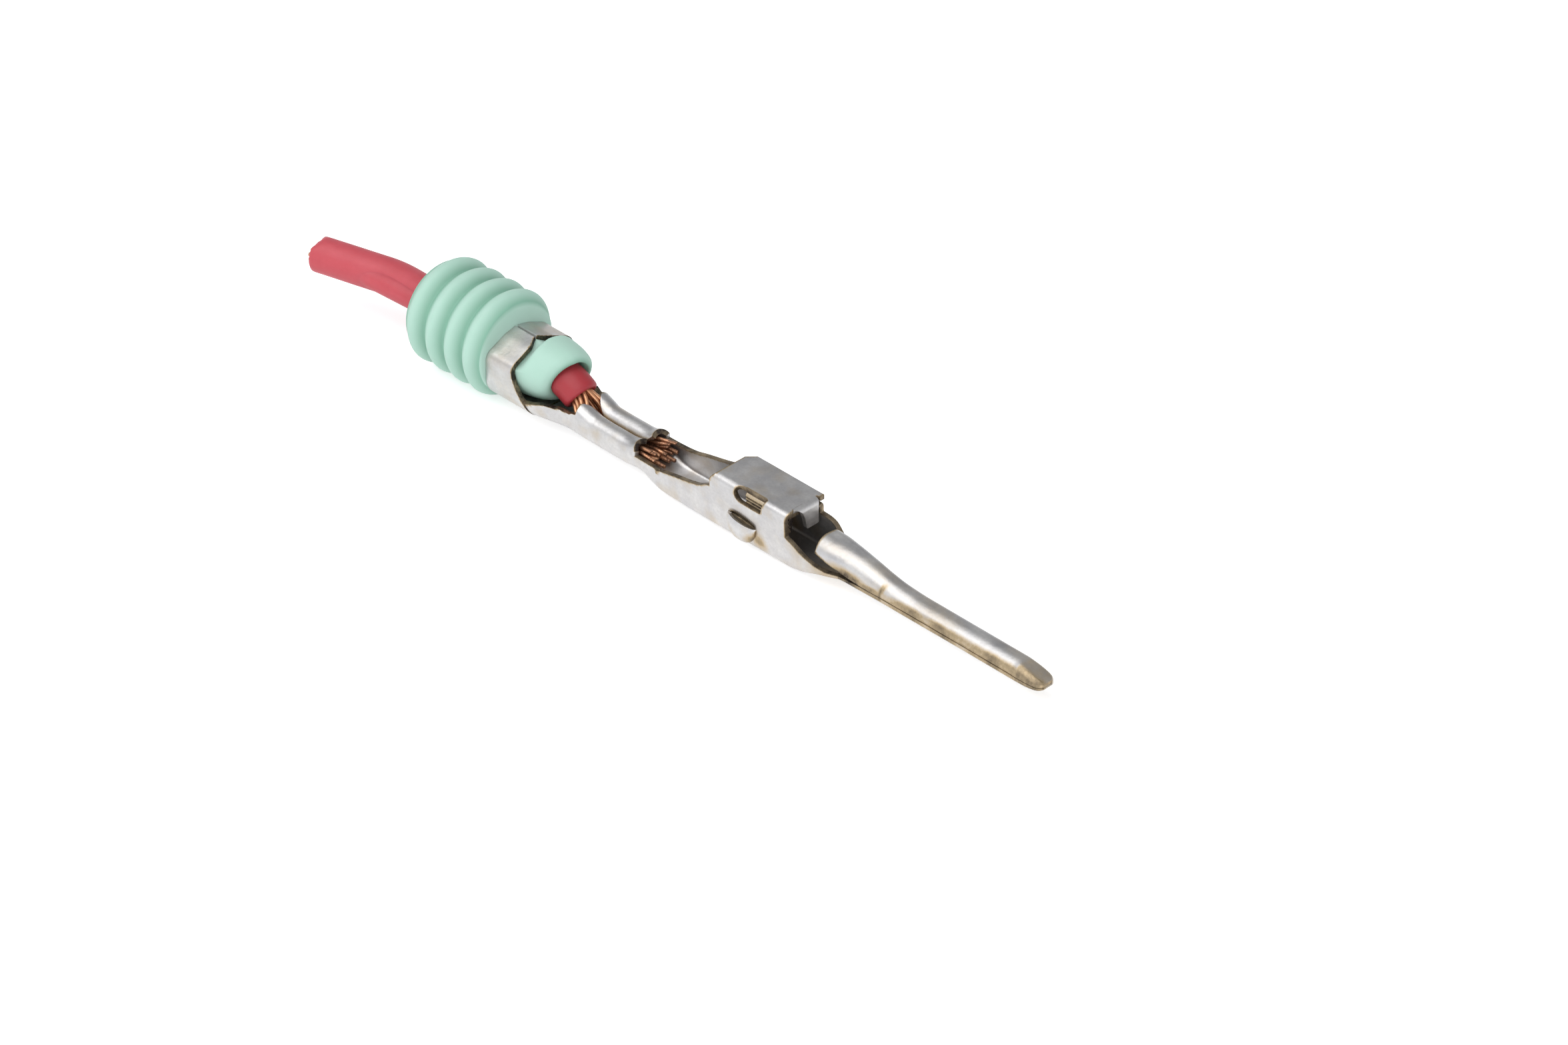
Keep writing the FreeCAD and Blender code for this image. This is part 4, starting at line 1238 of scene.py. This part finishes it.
        # Painted shade on the tip's facets, stronger on the near side.
        painted_tip_shade = smoothstep(15.05, 15.25, along) * (0.34 + 0.34 * near)
        return np.maximum.reduce([clouds, wall, line, 0.85 * root * near, 0.75 * crease * near, painted_tip_shade])

    def near_side(
        self, half: np.ndarray, seam: np.ndarray, knee: np.ndarray, radius: np.ndarray
    ) -> np.ndarray:
        """The pin's near side: from the seam up a wall to the knee, then round to the top.

        Points are even along the path, and a seam above the knee starts on the arc:
        y = -half + r (1 - cos a), z = knee + r sin a.
        """
        first = np.arcsin(np.clip((seam - knee) / radius, 0, 0.95))
        wall = np.clip(knee - seam, 0, None)
        arc = (math.pi / 2 - first) * radius
        t = np.linspace(0, 1, 25)[None, :] * (wall + arc)[:, None]
        angle = first[:, None] + np.clip(t - wall[:, None], 0, None) / radius[:, None]
        y = -half[:, None] + radius[:, None] * (1 - np.cos(angle))
        z = knee[:, None] + radius[:, None] * np.sin(angle) - np.clip(wall[:, None] - t, 0, None)
        return np.stack([y, z], axis=-1)

    def pin_plug(self) -> tuple[np.ndarray, np.ndarray]:
        """Closes the pin's tip: rings that narrow to its end, y = a |cos t|^0.65, z = b |sin t|^0.65.

        Returns:
            Its points and quads.
        """
        rings = ((0.22, 0.37, 0.16), (0.03, 0.25, 0.10), (0.0, 0.18, 0.07), (0.0, 0.01, 0.004))
        sides, inset, level = 24, 0.005, 0.605
        turn = np.linspace(0, 2 * math.pi, sides, endpoint=False)
        bulge_y, bulge_z = (np.sign(wave) * np.abs(wave) ** 0.65 for wave in (np.cos(turn), np.sin(turn)))
        points = []
        for back, wide, tall in rings:
            x = np.full(sides, self.pin_end - inset - back)
            points.append(np.column_stack([x, wide * bulge_y, level + tall * bulge_z]))
        return np.concatenate(points), grid_faces(len(rings), sides, True)

    def build(self, finish: bpy.types.Material) -> bpy.types.Object:
        """Builds the whole sheet.

        Args:
            finish: its material.

        Returns:
            The piece.
        """
        self.seal_grip()
        self.trough_and_crimp()
        self.channel_and_box()
        self.eyelids()
        self.stop_tab()
        self.pin()
        points, faces, tones = joined(self.patches)
        plug, plug_faces = self.pin_plug()
        plug_tones = (0.6, 0.0)
        faces = np.concatenate([faces, plug_faces + len(points)])
        points = np.concatenate([points, plug])
        tones = np.concatenate([tones, np.tile(plug_tones, (len(plug), 1))])
        # depth carries the painted shade of the inner surfaces.
        piece = make_piece("folded_sheet", points, [faces], {"tarnish_and_shade": tones[:, 0], "depth": tones[:, 1]})
        piece.data.materials.append(finish)
        soften_edges(piece, self.edge_rounding)
        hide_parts("contact")
        LOG.info("folded sheet: %d faces", len(faces))
        return piece


# The seal, the insulation and the strands


def closing_faces(rows: int, columns: int) -> np.ndarray:
    """Quads that join the last ring of a grid of rings to its first."""
    strip = grid_faces(2, columns, True)
    return np.where(strip < columns, strip + (rows - 1) * columns, strip - columns)


@dataclass
class WireSeal:
    """Ribbed silicone sleeve around the wire, its neck pressed into the grip."""

    axis_height: float = 2.01
    front: float = -11.96
    rib_count: int = 4
    pitch: float = 1.06
    groove_radius: float = 1.92
    rib_height: float = 0.31
    shoulder_radius: float = 1.44
    neck_start: float = -10.5
    neck_end: float = -8.62
    neck_front: float = -8.60
    bore: float = 0.765
    sides: int = 120

    @property
    def rear(self) -> float:
        """Place of the seal's rear face."""
        return self.front - self.rib_count * self.pitch

    def profile(self) -> np.ndarray:
        """Places along the axis and radii, from the bore's rear end round to the bore again.

        The ribs are groove + height (0.5 - 0.5 cos(2 pi t))^0.75, with t in pitches from the rear.
        """
        rear, front = self.rear, self.front
        rear_face = ((rear + 0.02, self.bore), (rear, self.bore + 0.06), (rear, 1.2), (rear, 1.70))
        places = np.linspace(rear, front, 120)
        wave = np.clip(0.5 - 0.5 * np.cos(2 * math.pi * (places - rear) / self.pitch), 0, 1)
        ribs = np.column_stack([places, self.groove_radius + self.rib_height * wave**0.75])
        shoulder = ((front + 0.03, 1.80), (front + 0.06, 1.62), (front + 0.10, self.shoulder_radius))
        in_grip = [(x, self.shoulder_radius) for x in np.linspace(front + 0.2, -10.6, 14)]
        neck_table = (
            (self.neck_start, 1.43),
            (-9.9, 1.36),
            (-9.4, 1.30),
            (-9.1, 1.24),
            (-8.85, 1.16),
            (-8.70, 1.04),
            (self.neck_end, 0.92),
        )
        places = np.linspace(self.neck_start, self.neck_end, 36)
        neck = np.column_stack([places, through(neck_table, places)[0]])
        face = ((self.neck_front, 0.82), (self.neck_front - 0.03, self.bore + 0.01), (-9.6, self.bore))
        return np.concatenate([rear_face, ribs, shoulder, in_grip, neck, face])

    def build(self, finish: bpy.types.Material) -> bpy.types.Object:
        """Turns the profile about the wire's axis, dents it, and slants the neck's front face.

        Inside the grip the sleeve is pressed flat against the wings and the floor. The attribute
        depth paints shade into the grooves between the ribs and the crease at the bore.

        Args:
            finish: its material.

        Returns:
            The piece.
        """
        profile = self.profile()
        turn = np.linspace(0, 2 * math.pi, self.sides, endpoint=False)[None, :]
        x, r = (np.repeat(column[:, None], self.sides, axis=1) for column in profile.T)
        low = np.clip(0.5 - 0.5 * np.sin(turn) - 0.35 * np.cos(turn), 0, 1.2)
        x -= 0.55 * smoothstep(-10.6, -8.7, x) * low
        in_grip = smoothstep(-12.0, -11.85, x) * smoothstep(-9.9, -10.5, x)
        smooth = np.stack([x, r * np.cos(turn), r * np.sin(turn)], axis=-1)
        r += (0.012 * waves(smooth, 2, 2.0) - 0.016) * (r > 1.0)
        y = r * np.cos(turn)
        z = self.axis_height + r * np.sin(turn)
        wings_inside = 2.92 - 0.46 * np.abs(y)
        floor_inside = 0.56
        z -= in_grip * np.maximum(z - wings_inside, 0)
        z += in_grip * np.maximum(floor_inside - z, 0)
        # Painted shade: the grooves between the ribs and the crease at the bore are darkened through
        # depth.
        groove = np.clip((2.21 - r) / 0.28, 0, 1) * (x < self.front)
        crease = smoothstep(1.05, 0.80, r)
        depth = np.maximum(groove**1.5, crease)
        points = np.stack([x, y, z], axis=-1).reshape(-1, 3)
        faces = grid_faces(len(profile), self.sides, True)
        closing = closing_faces(len(profile), self.sides)
        piece = make_piece("mint_seal", points, [faces, closing], {"depth": depth.ravel()})
        piece.data.materials.append(finish)
        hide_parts("wire_seal")
        LOG.info("seal: %d faces", len(faces))
        return piece


@dataclass
class Wire:
    """The wire's centre line: a bent stub behind the seal and a droop to the crimp in front."""

    axis_height: float = 2.01
    diameter: float = 1.5
    wall: float = 0.255
    bend_start: float = -18.1
    bend_radius: float = 5.0
    bend_degrees: float = 15.0
    tail: float = 3.09
    droop_start: float = -9.95
    droop_length: float = 1.72
    droop: float = 0.53
    sides: int = 56

    @property
    def bend(self) -> float:
        """Angle of the stub's bend in radians."""
        return math.radians(self.bend_degrees)

    @property
    def run(self) -> float:
        """Length of the straight run between the bend and the droop."""
        return self.droop_start - self.bend_start

    @property
    def fall(self) -> float:
        """Angle of the droop in radians."""
        return 2 * math.atan2(self.droop, self.droop_length)

    @property
    def droop_radius(self) -> float:
        """Radius of the drooping arc."""
        return self.droop_length / math.sin(self.fall)

    @property
    def length(self) -> float:
        """Length of the centre line in millimetres."""
        return self.tail + self.bend_radius * self.bend + self.run + self.fall * self.droop_radius

    def line(self, way: np.ndarray) -> tuple[np.ndarray, np.ndarray]:
        """Centre line: a straight tail, an arc, a straight run and a drooping arc.

        Args:
            way: distance along the line in millimetres from the cut end.

        Returns:
            Points and unit headings.
        """
        arc = self.bend_radius * self.bend
        past_bend = way - self.tail - arc
        on_tail = np.clip(self.tail - way, 0, None)
        in_bend = np.clip(-past_bend, 0, arc) / self.bend_radius
        on_run = np.clip(past_bend, 0, self.run)
        in_droop = np.clip(past_bend - self.run, 0, self.fall * self.droop_radius) / self.droop_radius
        x = self.bend_start - self.bend_radius * np.sin(in_bend) - on_tail * math.cos(self.bend) + on_run
        x = x + self.droop_radius * np.sin(in_droop)
        y = -self.bend_radius * (1 - np.cos(in_bend)) - on_tail * math.sin(self.bend)
        z = self.axis_height - self.droop_radius * (1 - np.cos(in_droop))
        points = np.stack([x, y, z], axis=-1)
        heading_x = np.cos(in_bend) * np.cos(in_droop)
        heading = np.stack([heading_x, np.sin(in_bend), -np.sin(in_droop)], axis=-1)
        return points, heading / np.linalg.norm(heading, axis=-1, keepdims=True)

    def rings(self) -> np.ndarray:
        """Ways along the centre line and radii of the tube's rings, outside and back inside."""
        length, outer, inner = self.length, self.diameter / 2, self.diameter / 2 - self.wall
        cut_end = ((0.0, inner + 0.03), (0.0, outer - 0.06), (0.05, outer - 0.01))
        outside = [(way, outer) for way in np.linspace(0.15, length - 0.16, 190)]
        front_end = (
            (length - 0.07, outer - 0.015),
            (length - 0.015, outer - 0.07),
            (length, outer - 0.13),
            (length - 0.01, inner + 0.05),
            (length - 0.08, inner),
        )
        bore = ((length - 1.4, inner), (1.2, inner), (0.06, inner))
        return np.concatenate([cut_end, outside, front_end, bore])

    def build(self, finish: bpy.types.Material) -> bpy.types.Object:
        """Insulation: rings of the tube's wall carried along the centre line.

        Its ends are rounded, its outside is slightly uneven, and the cut end has a nick on top.

        Args:
            finish: its material.

        Returns:
            The piece.
        """
        way, radius = (np.repeat(column[:, None], self.sides, axis=1) for column in self.rings().T)
        turn = np.linspace(0, 2 * math.pi, self.sides, endpoint=False)[None, :]
        around = np.stack(np.broadcast_arrays(way, np.cos(turn), np.sin(turn)), axis=-1)
        radius += np.where(radius > 0.7, 0.010 * waves(around, 9, 2.6), 0.0)
        nick = 0.22 * np.exp(-((way / 0.16) ** 2)) * np.clip(np.sin(turn) - 0.75, 0, 1) * 4
        radius -= np.where(radius > 0.6, np.minimum(nick, 0.2), 0.0)
        centres, heading = self.line(way[:, 0])
        side = np.cross(np.array([0.0, 0.0, 1.0]), heading)
        side /= np.linalg.norm(side, axis=-1, keepdims=True)
        rise = np.cross(heading, side)
        spokes = side[:, None] * np.cos(turn)[..., None] + rise[:, None] * np.sin(turn)[..., None]
        points = (centres[:, None] + radius[..., None] * spokes).reshape(-1, 3)
        faces = grid_faces(len(radius), self.sides, True)[:, ::-1]
        closing = closing_faces(len(radius), self.sides)[:, ::-1]
        piece = make_piece("red_insulation", points, [faces, closing])
        piece.data.materials.append(finish)
        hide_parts("wire_insulation")
        LOG.info("insulation: %d faces", len(faces))
        return piece


@dataclass
class Strands:
    """The wire's copper strands. They keep the CAD's ways, and their front ends are ragged."""

    count: int = 19
    crimp_front: float = -4.35
    lead: float = 0.1
    longest: float = 1.2

    def ragged(self, points: np.ndarray, number: int) -> None:
        """Moves a strand's front end in place, by sines of its number.

        From a little behind the crimp's front on, each end is pulled back, to one side and
        towards the middle, and its upper part is pressed down.

        Args:
            points: in millimetres.
            number: of the strand.
        """
        reach = np.clip(points[:, 0] - self.crimp_front + self.lead, 0, self.longest)
        points[:, 0] -= 0.20 * reach * (1 + math.sin(4.7 * number))
        points[:, 1] += 0.15 * reach * math.sin(2.9 * number) - 0.10 * reach * points[:, 1]
        above = np.clip(points[:, 2] - 1.0, 0, None)
        points[:, 2] += 0.07 * reach * math.cos(1.7 * number) - 0.30 * reach * above

    def build(self, finish: bpy.types.Material, nodes: dict[str, bpy.types.Object]) -> None:
        """Smooths a merged copy of each strand and bends its front end.

        Args:
            finish: their material.
            nodes: the CAD nodes by name.
        """
        for number in range(1, self.count + 1):
            name = f"strand_{number:02d}"
            mesh = nodes[name].data.copy()
            strand = bpy.data.objects.new(f"copper_{name}", mesh)
            bpy.context.scene.collection.objects.link(strand)
            weld = strand.modifiers.new("weld", "WELD")
            weld.merge_threshold = 1e-6
            points = np.empty(len(mesh.vertices) * 3)
            mesh.vertices.foreach_get("co", points)
            points = points.reshape(-1, 3) / MM
            self.ragged(points, number)
            mesh.vertices.foreach_set("co", (points * MM).ravel())
            mesh.materials.clear()
            mesh.materials.append(finish)
            mesh.polygons.foreach_set("use_smooth", np.ones(len(mesh.polygons), dtype=bool))
            mesh.update()
            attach(strand, "root")
            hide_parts(name)
        LOG.info("strands: %d", self.count)


# The stage


@dataclass
class Stage:
    """Floor, light and camera."""

    floor_level: float = -0.22
    target: tuple[float, float, float] = (2.77, 0.0, 1.03)
    azimuth: float = 45.2
    elevation: float = 35.0
    distance: float = 250.0
    lens: float = 153.0

    def floor(self) -> None:
        """Pale floor that adds a glow for the camera and for mirrors, so that both see it white."""
        reach, seen_glow, mirrored_glow = 900.0, 0.48, 0.26
        corners = np.array([[-reach, -reach], [reach, -reach], [reach, reach], [-reach, reach]])
        points = np.column_stack([corners, np.full(4, self.floor_level)])
        mesh = bpy.data.meshes.new("floor")
        mesh.from_pydata((points * MM).tolist(), [], [(0, 1, 2, 3)])
        floor = bpy.data.objects.new("floor", mesh)
        bpy.context.scene.collection.objects.link(floor)
        material = bpy.data.materials.new("pale_floor")
        material.use_nodes = True
        shader = Shader(material.node_tree)
        surface = material.node_tree.nodes["Principled BSDF"]
        shader.feed(surface, Base_Color=(0.93, 0.93, 0.93, 1), Roughness=0.9)
        surface.inputs["Specular IOR Level"].default_value = 0.1
        path = shader.add("LightPath")
        seen = shader.math("MAXIMUM", path.outputs["Is Camera Ray"], path.outputs["Is Transmission Ray"])
        glow = shader.add("Emission")
        straight = shader.math("MULTIPLY", seen, seen_glow)
        mirrored = shader.math("MULTIPLY", path.outputs["Is Glossy Ray"], mirrored_glow)
        strength = shader.math("MAXIMUM", straight, mirrored)
        shader.feed(glow, Color=(1, 1, 1, 1), Strength=strength)
        both = shader.add("AddShader")
        tree = material.node_tree
        tree.links.new(surface.outputs[0], both.inputs[0])
        tree.links.new(glow.outputs[0], both.inputs[1])
        tree.links.new(both.outputs[0], tree.nodes["Material Output"].inputs["Surface"])
        floor.data.materials.append(material)

    def world(self) -> None:
        """Studio light: white at the horizon and grey overhead, a little cool.

        It is darker towards -X +Y and brighter towards -X -Y.
        """
        world = bpy.data.worlds.new("studio")
        world.use_nodes = True
        bpy.context.scene.world = world
        shader = Shader(world.node_tree)
        background = world.node_tree.nodes["Background"]
        axes = shader.add("SeparateXYZ")
        shader.feed(axes, Vector=shader.add("TexCoord").outputs["Generated"])
        level = shader.ramp(axes.outputs["Z"], 0.02, 0.55, 1.0, 0.46)
        away = shader.math("SUBTRACT", axes.outputs["Y"], axes.outputs["X"])
        level = shader.math("MULTIPLY", level, shader.ramp(away, -1.1, 1.1, 1.15, 0.70))
        beside = shader.math("ADD", axes.outputs["Y"], axes.outputs["X"])
        level = shader.math("MULTIPLY", level, shader.ramp(beside, -1.1, -0.1, 1.4, 1.0))
        colour = shader.add("CombineColor")
        cool = shader.math("MULTIPLY", level, 1.025)
        warm = shader.math("MULTIPLY", level, 0.98)
        shader.feed(colour, Red=warm, Green=level, Blue=cool)
        shader.feed(background, Color=colour.outputs[0], Strength=1.0)

    def lamp(self, name: str, place: tuple[float, float, float], size: float, power: float) -> None:
        """Adds a soft square lamp that faces the middle of the object.

        Args:
            name: of the lamp.
            place: in millimetres.
            size: side of the lamp in millimetres.
            power: in watts.
        """
        light = bpy.data.lights.new(name, "AREA")
        light.shape = "SQUARE"
        light.size = size * MM
        light.energy = power
        lamp = bpy.data.objects.new(name, light)
        bpy.context.scene.collection.objects.link(lamp)
        lamp.location = np.array(place) * MM
        lamp.rotation_euler = self.facing(np.array(place), np.zeros(3))

    def facing(self, place: np.ndarray, target: np.ndarray) -> tuple[float, float, float]:
        """Euler angles that turn a lamp or camera at place towards target, without roll."""
        away = (target - place) / np.linalg.norm(target - place)
        pitch = math.acos(float(-away[2]))
        return (pitch, 0.0, math.atan2(float(-away[0]), float(away[1])))

    def camera(self) -> None:
        """Camera at the photograph's angle, level, with a long lens."""
        azimuth, elevation = math.radians(self.azimuth), math.radians(self.elevation)
        level = math.cos(elevation)
        back = np.array([math.sin(azimuth) * level, -math.cos(azimuth) * level, math.sin(elevation)])
        target = np.array(self.target)
        place = target + back * self.distance
        data = bpy.data.cameras.new("photo_camera")
        data.lens = self.lens
        data.sensor_width = 36
        data.clip_start = 0.01
        data.clip_end = 10
        camera = bpy.data.objects.new("photo_camera", data)
        bpy.context.scene.collection.objects.link(camera)
        camera.location = place * MM
        camera.rotation_euler = self.facing(place, target)
        bpy.context.scene.camera = camera

    def build(self) -> None:
        """Sets the whole stage."""
        self.floor()
        self.world()
        self.lamp("key", (-60.0, -120.0, 300.0), size=320.0, power=0.66)
        self.lamp("fill", (240.0, -160.0, 120.0), size=200.0, power=0.16)
        self.camera()
        bpy.context.scene.view_settings.view_transform = "Standard"
        LOG.info("stage set")


def main(frame: dict) -> None:
    """Builds and dresses every piece.
    """
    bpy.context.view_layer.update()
    groups = Groups(mottle_group(), grain_group())
    FoldedSheet().build(TinPlate("tin_plate", groups).build())
    WireSeal().build(SealRubber("seal_rubber", groups).build())
    Wire().build(Insulation("insulation", groups).build())
    Strands().build(Copper("copper", groups).build(), frame["nodes"])
    Stage().build()


if __name__ == "__main__":
    logging.basicConfig(level=logging.INFO, format="%(name)s: %(message)s")
    main(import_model())
